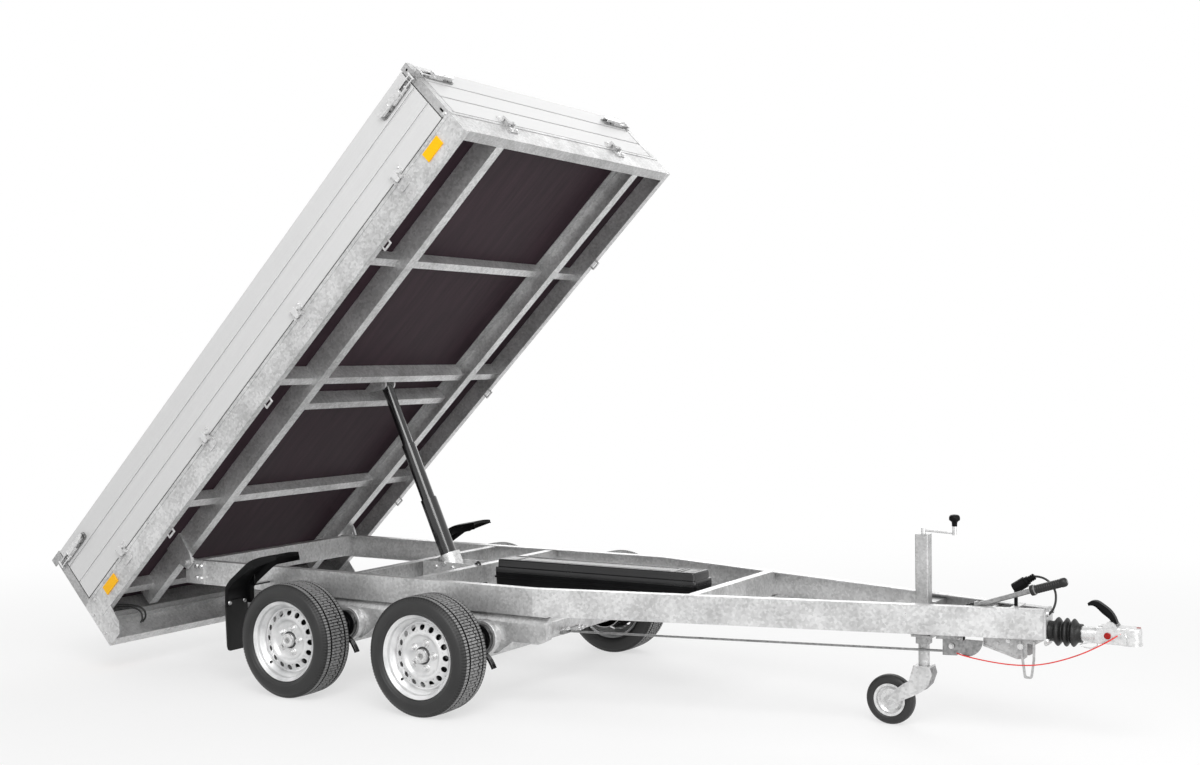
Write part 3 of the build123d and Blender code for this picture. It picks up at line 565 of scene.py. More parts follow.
def tyre_surface(x, side):
    """Rows across the tyre hold (distance, depth, share of the zigzag, kind); columns run round it."""
    half = [
        (7, 0, 1, "rib"), (14.8, 0, 1, "rib"), (15.6, 7.5, 1, "groove"), (20.4, 7.5, 1, "groove"),
        (21.2, 0, 1, "rib"), (32, 0, 0.4, "rib"), (41.6, 0, 0, "rib"), (42.4, 7.5, 0, "groove"),
        (50.2, 7.5, 0, "groove"), (51, 0, 0, "shoulder"), (61, 0, 0, "shoulder"), (70, 0, 0, "shoulder")]
    cut_wall = [(76, 259.4), (81.5, 254.5), (85.5, 248.5)]
    plain_wall = [
        (88.6, 244), (89.6, 243.2), (92.4, 238), (94.8, 231), (96.6, 224), (97.5, 216), (97.2, 208),
        (96.2, 202), (95, 201), (92.4, 194.5), (89, 190), (83.6, 186.5), (79, 183.5), (74.5, 168)]
    u = (np.arange(PITCHES)[:, None] + (0, 0.04, 0.13, 0.17, 0.42, 0.5, 0.54, 0.63, 0.67, 0.92)).ravel()
    zigzag = 5.2 * np.interp(u % 1, [0, 0.42, 0.5, 0.92, 1], [-1, -1, 1, 1, -1])
    cuts = np.tile([0, 1, 1, 0, 0, 0, 1, 1, 0, 0], PITCHES)
    s = [d + sway * zigzag for d, deep, sway, kind in half] + [d + 0 * u for d, r in cut_wall + plain_wall]
    r = [TYRE_R - 0.00042 * d ** 2 - deep - CUT[kind] * cuts for d, deep, sway, kind in half]
    r += [r_wall - 3 * cuts for d, r_wall in cut_wall] + [r_wall + 0 * cuts for d, r_wall in plain_wall]
    s, r = np.array(s), np.array(r)
    s, r = np.vstack([-s[::-1], s]), np.vstack([r[::-1], r])
    t = 2 * np.pi * u / PITCHES
    points = np.stack([x + r * np.sin(t), side * (WHEEL_Y + s), TYRE_R + r * np.cos(t)], -1)
    return points.reshape(-1, 3), grid_faces(len(s), len(u), True, True)


for key, (x, side, body) in WHEELS.items():
    tyre = build("tyre_dressed_" + key, tyre_surface(x, side), tyre_rubber, body,
                 ["tyre_" + key], smooth=40)
    tyre.data.materials.append(painted_sheen_tread)
    tyre.data.materials.append(groove_rubber_painted_shade)
    middles = np.empty(3 * len(tyre.data.polygons))
    tyre.data.polygons.foreach_get("center", middles)
    a, b, c = (middles.reshape(-1, 3) * 1000 + (MID_X - x, 0, -TYRE_R)).T
    across, around = np.abs(np.abs(b) - WHEEL_Y), np.hypot(a, c)
    # Groove faces take the painted shade, and the other tread faces take the painted sheen.
    in_groove = (across < GROOVES_HALF) & (around < 258.6 - (across / GROOVES_HALF) ** 4 * 1.5)
    finish_of = np.where(across < TREAD_HALF, np.where(in_groove, 2, 1), 0)
    finish_of[around < 252] = 0
    tyre.data.polygons.foreach_set("material_index", finish_of.astype(np.int32))

# %% [markdown]
# A pressed steel wheel has a rolled rim and a dished disc. The rim is a profile carried round the axle. The
# disc has sixteen round vent holes: each hole's share of the ring is a patch between its own outline and
# the circle, so the hole is open and its edge is smooth.

# %% The vented ring of a wheel
VENTS, VENT_R, VENT_AT = 16, 13, 125
RING_IN, RING_OUT = (112, 45), (141.5, 31.5)


def vented_ring(x, side, n=24):
    """A cone in patches with a round hole each: a blend from a patch's outline to its hole."""
    (r_in, s_in), (r_out, s_out) = RING_IN, RING_OUT
    q = (np.arange(n) + 0.5) / n * 4
    k = (q - np.floor(q)) * 2 - 1
    edge = np.floor(q).astype(int)
    one = np.ones(n)
    a = np.choose(edge, [k, one, -k, -one]) * np.pi / VENTS
    b = np.choose(edge, [-one, k, one, -k])
    rr = (r_in + r_out) / 2 + b * (r_out - r_in) / 2
    around = np.arctan2(b * (r_out - r_in), a * VENT_AT * 2)
    hole_t, hole_b = VENT_R * np.cos(around) / VENT_AT, VENT_AT + VENT_R * np.sin(around)
    rows = [(a, rr), ((a + 2 * hole_t) / 3, (rr + 2 * hole_b) / 3), (hole_t, hole_b)]
    angle = np.array([row[0] for row in rows])[None] + (2 * np.pi * np.arange(VENTS) / VENTS)[:, None, None]
    radius = np.array([row[1] for row in rows])[None] + 0 * angle
    s = s_in + (s_out - s_in) * (radius - r_in) / (r_out - r_in)
    s = np.concatenate([s, s[:, -1:] - 4], 1)
    angle = np.concatenate([angle, angle[:, -1:]], 1)
    radius = np.concatenate([radius, radius[:, -1:]], 1)
    points = np.stack([x + radius * np.sin(angle), side * (WHEEL_Y + s),
                       TYRE_R + radius * np.cos(angle)], -1)
    one_patch = np.array(grid_faces(4, n, False, True))
    faces = (one_patch[None] + (np.arange(VENTS) * 4 * n)[:, None, None]).reshape(-1, 4).tolist()
    return points.reshape(-1, 3), faces


print("faces of the vented ring:", len(vented_ring(0, 1)[1]))

# %% [markdown]
# Behind and inside the vents the wheel is round, so its rim, its disc, the hub's cap and the brake drum are
# profiles of (radius, distance outward from the wheel's middle). Five bolts on round seats hold each wheel.

# %% Wheels, hubs and brakes


def wheel_shape(x, side):
    """The rim's rolled profile, the ring outside the vents, and the disc inside them."""
    rim = [
        (183, 78), (184, 81), (182.5, 82.8), (179.5, 82.4), (177, 79.5), (174.5, 77.5), (168.5, 75.5),
        (166.5, 72), (165.8, 60), (163.5, 57), (160, 54), (152, 44), (148.5, 38), (147, 28), (147, -32),
        (151, -38), (163.5, -50), (165.5, -70), (170, -75), (178, -78), (182.5, -82.8), (184, -81),
        (183, -77), (169, -72), (167, -48), (150, -30), (149.5, 30), (156, 44), (163, 52), (167.5, 58),
        (168, 73)]
    ring = [(147, 32.5), (141.5, 31.5), (141.5, 28), (147, 29)]
    disc = [
        (112, 45), (107, 48.5), (101, 50), (95, 48.5), (90, 43), (86, 36.5), (82, 34), (72, 33.5),
        (66, 34.5), (50, 34.5), (44, 34.5), (41.5, 36.5), (39.4, 36.5), (39, 30), (80, 30), (88, 37),
        (96, 44.5), (101, 46), (106, 44.5), (112, 41)]
    centre = (x, side * WHEEL_Y, TYRE_R)
    return merge(*(lathe(profile, centre, turns=96, side=side) for profile in (rim, ring, disc)))


def hub_shape(x, side):
    """The cap and five wheel bolts on round seats, 56 mm from the axle."""
    cap = [(31, 30), (31, 51), (29.5, 54), (24, 55.5), (22.5, 53), (0.01, 53.5), (0.01, 30)]
    seat = [(18, 33.5), (16.5, 36.5), (13.5, 38.5), (9, 38.5), (9, 33.5)]
    parts = [lathe(cap, (x, side * WHEEL_Y, TYRE_R), turns=40, side=side)]
    for k in range(5):
        a = math.radians(72 * k + 16)
        spot = (x + 56 * math.sin(a), side * (WHEEL_Y + 34), TYRE_R + 56 * math.cos(a))
        parts.append(bolt(spot, (0, side, 0), 19, 15, 3))
        parts.append(lathe(seat, (spot[0], side * WHEEL_Y, spot[2]), turns=24, side=side))
    return merge(*parts)


def brake_shape(x, side):
    """The brake drum behind the disc, a cup with cooling ribs."""
    cup = [
        (30, 30), (84, 29), (108, 20), (131, 8), (133, -20), (129, -22), (133, -26), (129, -30), (133, -34),
        (116, -60), (116, -100), (119, -101), (119, -104), (108, -104), (108, 4), (30, 12)]
    return lathe(cup, (x, side * WHEEL_Y, TYRE_R), side=side)


for key, (x, side, body) in WHEELS.items():
    build("wheel_" + key, wheel_shape(x, side), wheel_silver, body, ["rim_" + key],
          smooth=45)
    build("wheel_vents_" + key, vented_ring(x, side), wheel_silver, body, smooth=45)
    build("hub_" + key, hub_shape(x, side), bright_zinc, body, smooth=40)
    # The drum's gloss black is painted shade, so that the vent holes in front of it look dark.
    build("brake_drum_" + key, brake_shape(x, side), gloss_paint, body, smooth=40)

# %% [markdown]
# The mudguards cover only the rear half of each rear wheel. One is a moulded shell: an arch with round
# corners, a crowned top, an outer skirt that widens at the shoulder and an inner one. It is a grid whose
# rows follow the arch and whose columns cross it, and a modifier gives the wall its 3.5 mm.

# %% The shell of a mudguard
ARCH = [(-790, 385), (-790, 476), (-762, 511), (-645, 602), (-612, 619), (-462, 648)]


def round_corners(points, r, steps=6):
    """A path whose inner corners become parabolas that begin and end r from them."""
    p = np.asarray(points, float)
    out = [p[:1]]
    t = np.linspace(0, 1, steps)[:, None]
    for a, c, b in zip(p[:-2], p[1:-1], p[2:]):
        d1, d2 = min(r, np.linalg.norm(a - c) / 2), min(r, np.linalg.norm(b - c) / 2)
        start = c + (a - c) * d1 / np.linalg.norm(a - c)
        end = c + (b - c) * d2 / np.linalg.norm(b - c)
        out.append((1 - t) ** 2 * start + 2 * t * (1 - t) * c + t ** 2 * end)
    return np.vstack(out + [p[-1:]])


def guard_shape(side):
    """Each row is the arch's point moved toward the hub by the section's drop: the skirts hang inward."""
    arch = round_corners(ARCH, 16)
    run = np.concatenate([[0], np.cumsum(np.linalg.norm(np.diff(arch, axis=0), axis=1))])
    run /= run[-1]
    outer = np.interp(run, [0, 0.3, 0.52, 0.66, 0.8, 1], [21, 22, 26, 43, 34, 18])
    inner = np.interp(run, [0, 0.8, 1], [40, 42, 36])
    way = np.gradient(arch, axis=0)
    arch, way = np.vstack([arch, arch[-1]]), np.vstack([way, way[-1]])
    lip = np.append(np.zeros(len(outer)), 16)
    way /= np.linalg.norm(way, axis=1)[:, None]
    inward = np.stack([way[:, 1], -way[:, 0]], -1)
    y = np.array([855, 855, 853.6, 850, 830, 800, 777, 754, 724, 705, 701.4, 700, 700])
    drop = np.array([0, 4.5, 1.4, 0, -2.6, -4.8, -5.2, -4.8, -2.6, 0, 1.4, 4.5, 0])[None, :] + lip[:, None]
    drop[:, 0], drop[:, -1] = np.append(outer, 19), np.append(inner, 37)
    spot = arch[:, None] + inward[:, None] * drop[..., None]
    points = np.stack([spot[..., 0], side * y[None, :] + 0 * spot[..., 0], spot[..., 1]], -1)
    return points.reshape(-1, 3), grid_faces(len(arch), len(y))


print("corners of the arch:", len(round_corners(ARCH, 16)))

# %% [markdown]
# A rubber flap hangs from each mudguard's rear edge and leans forward a little. An arm with an upright tab
# carries the guard.

# %% Mudguards, flaps and arms
LEAN, FLAP_TOP, FLAP_LOW, FLAP_IN, FLAP_OUT = 0.05, 410, 172, 704, 848


def flap_shape(side):
    """A rubber flap with round lower corners and three upright ribs on its rear face."""
    y0, y1, top, low = FLAP_IN, FLAP_OUT, FLAP_TOP, FLAP_LOW
    sheet = [
        (y0, top), (y0, low + 16), (y0 + 5, low + 5), (y0 + 16, low), (y1 - 16, low), (y1 - 5, low + 5),
        (y1, low + 16), (y1, top)]
    faces = [list(range(8)), list(range(15, 7, -1))]
    faces += [[i, (i + 1) % 8, 8 + (i + 1) % 8, 8 + i] for i in range(8)]
    points = [(x + LEAN * (top - z), side * y, z) for x in (-790, -796) for y, z in sheet]
    ribs = []
    for y in (y0 + 4, (y0 + y1) / 2, y1 - 4):
        line = [(-797.5 + LEAN * 20, side * y, top - 20), (-797.5 + LEAN * 220, side * y, low + 20)]
        ribs.append(sweep([(-3, -2), (3, -2), (2, 2.5), (-2, 2.5)], line, (-1, 0, 0)))
    return merge((points, faces), *ribs)


for side, word in SIDES:
    build("mudguard_" + word, guard_shape(side), black_plastic, "chassis",
          ["mudguards"] if side < 0 else (), wall=3.5, smooth=50)
    build("flap_" + word, flap_shape(side), soft_rubber, "chassis", bevel=1.0)
    arm = merge(plate([(-765, 470), (-735, 470), (-735, 478), (-765, 478)], side * 606, side * 706),
                plate([(-762, 474), (-738, 474), (-742, 524), (-758, 512)], side * 699, side * 705))
    build("guard_arm_" + word, arm, gloss_paint, "chassis", bevel=1.2)

# %% [markdown]
# Small fasteners are hexagon heads on washers. They are listed by what they hold, each with its place, the
# direction that it points, the size across its flats and its height, and joined into one mesh for each
# body.

# %% Bolts of the chassis


def fasteners(name, spots, body, on=at):
    """One mesh of hexagon heads from (place, direction, size, height)."""
    build(name, merge(*(bolt(*spot) for spot in spots)), bright_zinc, body, on=on, smooth=30)


pivot_bolts = [((x, side * 614, z), (0, side, 0), 19, 10)
               for x in (-1222, -1196) for z in (460, 520) for side in BOTH]
plate_bolts = [((2851, y, z), (1, 0, 0), 16, 8) for y in (-38, 38) for z in (412, 520)]
skirt_bolts = [((2320, side * 190, z), (0.263, side * 0.965, 0), 13, 5) for z in (497, 459) for side in BOTH]
cylinder_bolts = [((x, side * 66, 520), (0, side, 0), 16, 7) for x in (-140, -40, 40) for side in BOTH]
handbrake_bolts = [((x, y, z), (0, -1, 0), size, head) for x, y, z, size, head in (
    (2462, -74, 402, 13, 6), (2506, -74, 402, 13, 6), (2480, -80, 365, 16, 8), (2752, -58, 384, 17, 8),
    (2700, -46, 400, 13, 6))]
carrier_bolts = [((hub + 140 + dx, side * 578, 309), (0, 0, 1), 16, 8)
                 for hub in HUBS for dx in (-28, 28) for side in BOTH]
fasteners("chassis_bolts", pivot_bolts + plate_bolts + skirt_bolts + cylinder_bolts + handbrake_bolts
          + carrier_bolts, "chassis")
guard_spots = [((-786.5, side * y, 398), (1, 0, 0.05), 14, 5) for y in (728, 826) for side in BOTH]
fasteners("guard_bolts", guard_spots, "chassis")

# %% [markdown]
# The bed's bolts hold the headboard's hinges, the rear posts and the front ones. Each board carries the
# rivets of its hinges and of its latches, so these ride with the board.

# %% Bolts of the bed and its boards
HINGE_U, HEAD_Y, HINGE_W, LATCH_W = (375, 1191, 2009, 2825), (-470, 470), 192, 405
bed_spots = [((3205, y + dy, 112), (1, 0, 0), 13, 5) for y in HEAD_Y for dy in (-22, 22)]
bed_spots += [((u, side * 900, w), (0, side, 0), 10, 4)
              for u, w in ((45, 128), (-16, 78), (-16, -40)) for side in BOTH]
bed_spots += [((3180, side * 900, 165), (0, side, 0), 13, 6) for side in BOTH]
fasteners("bed_bolts", bed_spots, "bed", on_bed)
for side, word in SIDES:
    spots = [((u + du, side * 904, HINGE_W), (0, side, 0), 10, 3.5) for u in HINGE_U for du in (-30, 30)]
    spots += [((u, side * 904, LATCH_W), (0, side, 0), 8, 3) for u in (3124, 2974, 50, 200)]
    fasteners("board_" + word + "_bolts", spots, "board_" + word, on_bed)
spots = [((3204, y + dy, HINGE_W), (1, 0, 0), 10, 3.5) for y in HEAD_Y for dy in (-30, 30)]
fasteners("headboard_bolts", spots, "headboard", on_bed)

# %% [markdown]
# The bellows is one moulded rubber sleeve with three folds. Its outline is a smooth curve through the
# crests and the troughs, carried round the shaft.

# %% Bellows
folds = smooth_line([
    (37, 0), (40.5, 2), (40, 14), (43, 22), (53, 30), (57, 36), (53, 42), (42, 50), (40, 54), (43, 58),
    (53, 64), (56.5, 69), (53, 74), (42.5, 80), (41, 83), (43, 86), (51, 91), (55.5, 97), (51, 103),
    (42, 110), (37.5, 116), (36.8, 129)], 5)
bore = [(30.4, 129), (32, 116), (36, 96), (36, 30), (34, 0)]
bellows = build("bellows_folds", lathe(np.vstack([folds, bore]), (2851, 0, 447), "x", 72), soft_rubber,
                "chassis", ["bellows"], smooth=60)
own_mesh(bellows)

# %% [markdown]
# Grips are fitted over the plain bars: the handbrake's ribbed rubber sleeve and its boot, and the crank's
# knob. The sleeve and the boot are carried round an X axis first, and then brought in line with the lever.

# %% Grips
RISE, REACH = 40, 122
lever_way = np.array([REACH, 0, RISE]) / math.hypot(REACH, RISE)
along_lever = np.array([lever_way, (0, 1, 0), np.cross(lever_way, (0, 1, 0))])
grip = [(8, -2), (20.5, -2), (21.5, 3), (21.5, 11), (18.5, 14)]
for start in (9.4 * k for k in range(11)):
    grip += [(17.4, 16 + start), (17.4, 21 + start), (16.6, 22.2 + start), (16.6, 24.2 + start)]
grip += [(17.6, 121), (18.4, 124), (18.4, 134), (16.5, 141), (11, 146), (0.01, 147.5)]
boot = smooth_line([
    (11, -24), (15, -22), (17, -14), (14.5, -8), (17.5, -3), (15, 3), (17, 8), (13, 12), (10.6, 13)], 4)
for name, profile, turns, foot, smooth in (("handbrake_grip", grip, 40, (2796, -54, 609.7), 50),
                                           ("lever_boot", boot, 32, (2560, -54, 529.5), 60)):
    points, faces = lathe(profile, (0, 0, 0), "x", turns, False)
    build(name, (points @ along_lever + foot, faces), soft_rubber, "chassis", smooth=smooth)
knob = smooth_line([
    (0.01, 842), (10, 842), (10.8, 850), (12.5, 860), (20.5, 866.5), (22.2, 871), (22, 879), (19, 886),
    (12, 889.5), (0.01, 891)], 3)
build("crank_knob", lathe(knob, (2470, 0, 0), "z", 40, False), black_plastic, "chassis",
      smooth=60)

# %% [markdown]
# The coupling carries two red marks: a button on its right side and a wear mark on its nose. Four bolts
# hold the head to its shaft.

# %% Marks and bolts of the coupling
button = [(0.01, 48.5), (9, 48.5), (12.5, 47), (13, 44), (13, 40), (0.01, 40)]
button = lathe(button, (3083, 0, 453), "y", 36, False, side=-1)
mark = block(3184, 3198, -7, 7, 484, 488.5)
build("red_marks", merge(button, mark), lamp_red, "coupling", smooth=40)
spots = [((x, side * 40, z), (0, side, 0), 13, 6) for x, z in ((3096, 490), (3128, 458)) for side in BOTH]
fasteners("coupling_bolts", spots, "coupling")

# %% [markdown]
# Each tail lamp is a black tray with a lens in three fields: amber for turning, red for braking and a clear
# one for reversing. A lens is a block with a round edge, and its prisms are in the finish.

# %% Tail lamps
lens_clear = acrylic("clear_acrylic", "E8E8E8", "C4C4C4", 0.005)
LENSES = (("turn", 856, 764, amber, "amber_acrylic"), ("brake", 760, 604, lamp_red, "lamp_red"),
          ("reverse", 600, 524, lens_clear, "lamp_red"))
for side, word in SIDES:
    build("lamp_tray_" + word, block(-74, -36, side * 862, side * 518, -77, 22), black_plastic, "bed",
          on=on_bed, bevel=4)
    for name, y0, y1, lens, slot in LENSES:
        build("lamp_" + name + "_" + word, block(-82, -70, side * y1, side * y0, -71, 16), lens, "bed",
              ["tail_lamps"] if name == "brake" and side < 0 else (), on=on_bed, bevel=5)

# %% [markdown]
# Hoses and leads are bent bars: a smooth curve with a round outline. The cylinder's hose starts behind the
# power box and bows up to the barrel. Two leads bow down from the bed's right rear corner to the panel of
# its tail lamp.

# %% Hose and leads
hose = bent([
    (150, -40, 452), (142, -66, 458), (138, -74, 500), (136, -74, 546), (120, -66, 556), (96, -52, 545),
    (70, -44, 520)], 6.5)
build("hoses", hose, cable_black, "chassis", smooth=60)
thick_lead = [
    (60, -850, 78), (52, -800, 66), (50, -740, 58), (52, -690, 38), (50, -664, 8), (30, -660, -20),
    (6, -672, -30)]
thin_lead = [
    (58, -850, 70), (48, -790, 54), (46, -740, 48), (48, -700, 26), (44, -684, 0), (26, -680, -22),
    (6, -686, -34)]
build("lamp_leads", merge(bent(thick_lead, 5), bent(thin_lead, 4.5)), cable_black, "bed",
      on=on_bed, smooth=60)

# %% [markdown]
# The power box is moulded in two halves. A moulding has walls that lean a degree or two, ledges and round
# edges, so each half is a stack of rounded rectangles: the profile says how far each one is drawn in, and
# at what height.

# %% Power box
BOX_X, BOX_Y, BOX_R = (230, 1320), (-88, 88), 18


def moulding(profile):
    """Rows of rounded rectangles, drawn in by d at height z for each (d, z), the last row closed."""
    (x0, x1), (y0, y1) = BOX_X, BOX_Y
    t = np.linspace(0, np.pi / 2, 6)
    rows = []
    for d, z in profile:
        k = max(BOX_R - d * 0.5, 2)
        spots = []
        corners = ((x1, y1, 1, 1), (x0, y1, -1, 1), (x0, y0, -1, -1), (x1, y0, 1, -1))
        for quarter, (x, y, way_x, way_y) in enumerate(corners):
            mid = np.array([x - way_x * (d + k), y - way_y * (d + k)])
            angle = t + quarter * np.pi / 2
            spots.append(mid + k * np.stack([np.cos(angle), np.sin(angle)], -1))
        ring = np.vstack(spots)
        rows.append(np.column_stack([ring, np.full(len(ring), z)]))
    n = len(rows[0])
    last = list(range((len(rows) - 1) * n, len(rows) * n))
    return np.vstack(rows), grid_faces(len(rows), n, False, True) + [last]


low_half = [
    (14, 446), (7, 444), (4, 450), (2, 494), (-5, 495), (-5, 502), (1, 503), (0, 519.5), (10, 519.5),
    (14, 450)]
build("power_box_moulded", moulding(low_half), black_plastic, "chassis", ["power_box"],
      bevel=1.0, smooth=40)
high_half = [
    (8, 520), (0, 520.5), (0, 523), (0.5, 543), (1.5, 545), (9.5, 547.5), (10.5, 550), (11.5, 571),
    (12.5, 577), (16, 581), (22, 582), (26, 582), (29, 579.5), (60, 579.5)]
ribs = [block(x, x + 9, -52, 52, 577, 581.5) for x in (330, 1192, 1216)]
ribs += [block(380, 1170, y, y + 5, 577, 581) for y in (-46, 41)]
build("power_lid_moulded", merge(moulding(high_half), *ribs), lid_plastic, "power_lid",
      ["power_lid"], bevel=0.8, smooth=40)
straps = []
for x in (400, 1150):
    straps += [rod((x - 30, 94, 520), (x + 30, 94, 520), 5.5), block(x - 11, x + 11, 82, 90, 512, 545)]
build("lid_hinges", merge(*straps), black_plastic, "chassis", bevel=1)

# %% [markdown]
# Each carrier under the rails is folded from sheet: a lip, a slope, an upright face and a closed front end.
# Trapezoid pads hold the axle tubes, each in a round clamp.

# %% Axle carriers
PIVOT_DX, PIVOT_Z = 168, 322


def carrier_shape(side):
    """The folded section at three places along the trailer, its top lip, and the pads with their clamps."""
    section = [(561, 430), (570, 429), (604, 396), (606, 391), (606, 311), (603, 307), (561, 307)]
    rows = [[(x, side * y, z + (lift if z < 350 else 0)) for y, z in section]
            for x, lift in ((-565, 0), (820, 0), (865, 22))]
    skin = grid_faces(3, 7, False, True) + [list(range(7)), list(range(14, 21))]
    parts = [(rows, skin), block(-565, 866.5, side * 604, side * 560, 427.5, 431)]
    clamp = [(30, 604), (74, 604), (77, 607), (77, 640), (74, 646), (30, 646)]
    for x in (hub + PIVOT_DX for hub in HUBS):
        pad = [(x - 140, 312), (x - 52, 250), (x + 52, 250), (x + 140, 312)]
        parts.append(plate(pad, side * 596, side * 604))
        parts.append(lathe(clamp, (x, 0, PIVOT_Z), turns=48, side=side))
    return merge(*parts)


print("faces of a carrier:", len(carrier_shape(-1)[1]))

# %% [markdown]
# The swing arms are painted black. Each has a round boss in front of its wheel, a plate down to the hub,
# the brake's back plate, and the thick sheath of the brake's cable, which curves forward and down from that
# plate.

# %% Swing arms


def arms_shape(side):
    """Boss, arm, back plate and sheath for both wheels of a side."""
    boss = [(1, 646), (63, 646), (63, 664), (60, 668), (34, 668), (32, 664), (1, 664)]
    disc = [(30, 664), (116, 664), (118, 666), (118, 671), (30, 671)]
    parts = []
    for hub in HUBS:
        x = hub + PIVOT_DX
        parts.append(lathe(boss, (x, 0, PIVOT_Z), turns=48, side=side))
        arm = [(x - 20, 384), (hub - 10, 306), (hub - 34, 262), (hub - 10, 222), (x + 18, 262)]
        parts.append(plate(arm, side * 646, side * 662))
        parts.append(lathe(disc, (hub, 0, TYRE_R), turns=48, side=side))
        sheath = [(hub + dx, side * y, z) for dx, y, z in (
            (118, 680, 262), (190, 682, 266), (226, 684, 252), (250, 686, 224), (262, 686, 202))]
        parts.append(sweep([(-6, -13), (6, -13), (6, 13), (-6, 13)], smooth_line(sheath, 5), (0, 1, 0)))
    return merge(*parts)


for side, word in SIDES:
    build("carrier_" + word, carrier_shape(side), steel_frame, "chassis",
          ["axle_carriers"] if side < 0 else (), bevel=1.2, smooth=35)
    build("swing_arms_" + word, arms_shape(side), gloss_paint, "chassis", bevel=1.5,
          smooth=40)
    pins = [((hub + 254, side * 690, 214), (0, side, 0), 10, 4) for hub in HUBS]
    pins += [((hub + PIVOT_DX, side * 664, PIVOT_Z), (0, side, 0), 22, 8) for hub in HUBS]
    fasteners("arm_bolts_" + word, pins, "chassis")

# %% [markdown]
# Each board is held by an over-centre latch at either end. Pulling the tapered lever draws a wire loop over
# the lip on the post. The base is a pressed plate with round rivets. The lever is a channel that stands
# clear of it. Both are drawn once, in (along, out, up) from the board's end, and placed six times.

# %% Shapes of a latch


def slab(outline, low, high):
    """An outline in (along, up) between two distances out from the board."""
    rows = [[(a, out, LATCH_W + w) for a, w in outline] for out in (low, high)]
    n = len(outline)
    return rows, grid_faces(2, n, False, True) + [list(range(n)), list(range(n, 2 * n))]


def bar(a0, a1, out0, out1, w0, w1):
    """A rectangular bar of a latch."""
    return slab([(a0, w0), (a1, w0), (a1, w1), (a0, w1)], out0, out1)


def rivets(spots):
    """Round heads at places (along, out, up)."""
    return [lathe([(0.01, o), (5.5, o), (5.5, o + 1.5), (3.5, o + 3.5), (0.01, o + 4)], (a, 0, LATCH_W + w),
                  turns=16) for a, o, w in spots]


def latch_lever():
    """The tapered lever, its flanges, its two cheeks and the pins that it turns about."""
    top = [(58, -14), (188, -9), (204, -3), (204, 9), (188, 14), (58, 16)]
    cheeks = [bar(26, 122, 4, 18, s * 16 - 3, s * 16 + 3) for s in BOTH]
    pin = [(0.01, -22), (5, -22), (5, 22), (0.01, 22)]
    pins = [lathe(pin, (a, 14, LATCH_W), "z", 14) for a in (60, -27)]
    flanges = bar(58, 190, 12, 24, -13, -10.5), bar(58, 190, 12, 24, 11.5, 14)
    return merge(slab(top, 22, 25.5), *flanges, *cheeks, *rivets([(60, 25, 0), (140, 25, 3)]), *pins)


def latch_base():
    """The pressed plate with its steps and four rivets."""
    base = [(4, -15), (16, -21), (192, -21), (207, -14), (207, 14), (192, 21), (16, 21), (4, 15)]
    ends = [(14, 5, -12), (14, 5, 12), (198, 5, -9), (198, 5, 9)]
    return merge(slab(base, 0, 5.5), bar(126, 150, 5, 13, -19, -5), bar(160, 184, 5, 11, -18, 18),
                 bar(6, 20, 5, 9, -14, 14), *rivets(ends))


print("faces of a latch:", len(latch_lever()[1]) + len(latch_base()[1]))

# %% [markdown]
# A latch is drawn for one end of a board. A placing function turns (along, out, up) into bed millimetres
# for each of the six ends, and the pair on one board is joined into one mesh.

# %% Latches in their places


def on_side(u0, way, side):
    """Places a latch at a side board's end: way 1 is the front end, and side 1 is the left board."""
    return lambda p: np.stack([u0 - way * p[:, 0], side * (900 + p[:, 1]), p[:, 2]], -1)


def on_headboard(side):
    """Places a latch at an end of the headboard."""
    return lambda p: np.stack([3200 + p[:, 1], side * (854 - p[:, 0]), p[:, 2]], -1)


PLACES = {"board_right": (on_side(3154, 1, -1), on_side(20, -1, -1)),
          "board_left": (on_side(3154, 1, 1), on_side(20, -1, 1)),
          "headboard": (on_headboard(-1), on_headboard(1))}
HALVES = (("levers", latch_lever(), bright_zinc), ("bases", latch_base(), grey_zinc))
for body, places in PLACES.items():
    for word, (points, faces), metal in HALVES:
        pair = merge(*((place(points), faces) for place in places))
        build(body + "_latch_" + word, pair, metal, body, on=on_bed, bevel=0.8, smooth=35)

# %% [markdown]
# The brake rod ends in an equaliser between the rails: a threaded rod with lock nuts, and a yoke that
# shares the pull between two thin rods, one for each side's brakes.

# %% Equaliser
ROD_START, ROD_END = (500, 0, 236), (700, 0, 283)
nuts = [rod(ROD_START, ROD_END, 5, 12)]
rod_way = np.subtract(ROD_END, ROD_START) / math.dist(ROD_START, ROD_END)
NUTS = ((20, 15, 16), (48, 11, 12), (70, 17, 30), (118, 12, 14), (140, 16, 24), (172, 11, 12))
for along, r, long in NUTS:
    start = ROD_START + rod_way * along
    nuts.append(sweep(circle(r, 6), [start, start + rod_way * long], (0, 1, 0)))
nuts += [block(560, 584, -62, 62, 240, 262)] + [rod((572, y, 251), (470, y, 226), 5) for y in (-50, 50)]
build("equaliser", merge(*nuts), bright_zinc, "chassis", bevel=0.8, smooth=35)

# %% [markdown]
# A dark strip fills the gap under the headboard and the side boards, from hinge to hinge: it is painted
# shadow, for the shade in that gap. It stands half a millimetre proud and shows as a dark line.

# %% Painted shadow under the boards
# Each strip is painted shadow in a gap under a board.
gap_shadow = [block(3198, 3200.6, y0, y1, 156.4, 162.4) for y0, y1 in ((-872, -512), (-428, 428), (512, 872))]
for u0, u1 in zip([20] + [u + 42 for u in HINGE_U], [u - 42 for u in HINGE_U] + [3165]):
    gap_shadow += [block(u0, u1, side * 899.3 - 1.3, side * 899.3 + 1.3, 156.4, 162.0) for side in BOTH]
build("board_gap_shadow", merge(*gap_shadow), soft_rubber, "bed", on=on_bed)

# %% [markdown]
# Two small things end the list of hardware: a rubber valve in each rim, and the sprung wire ring that hangs
# under the coupling's shaft, where the breakaway line can be clipped.

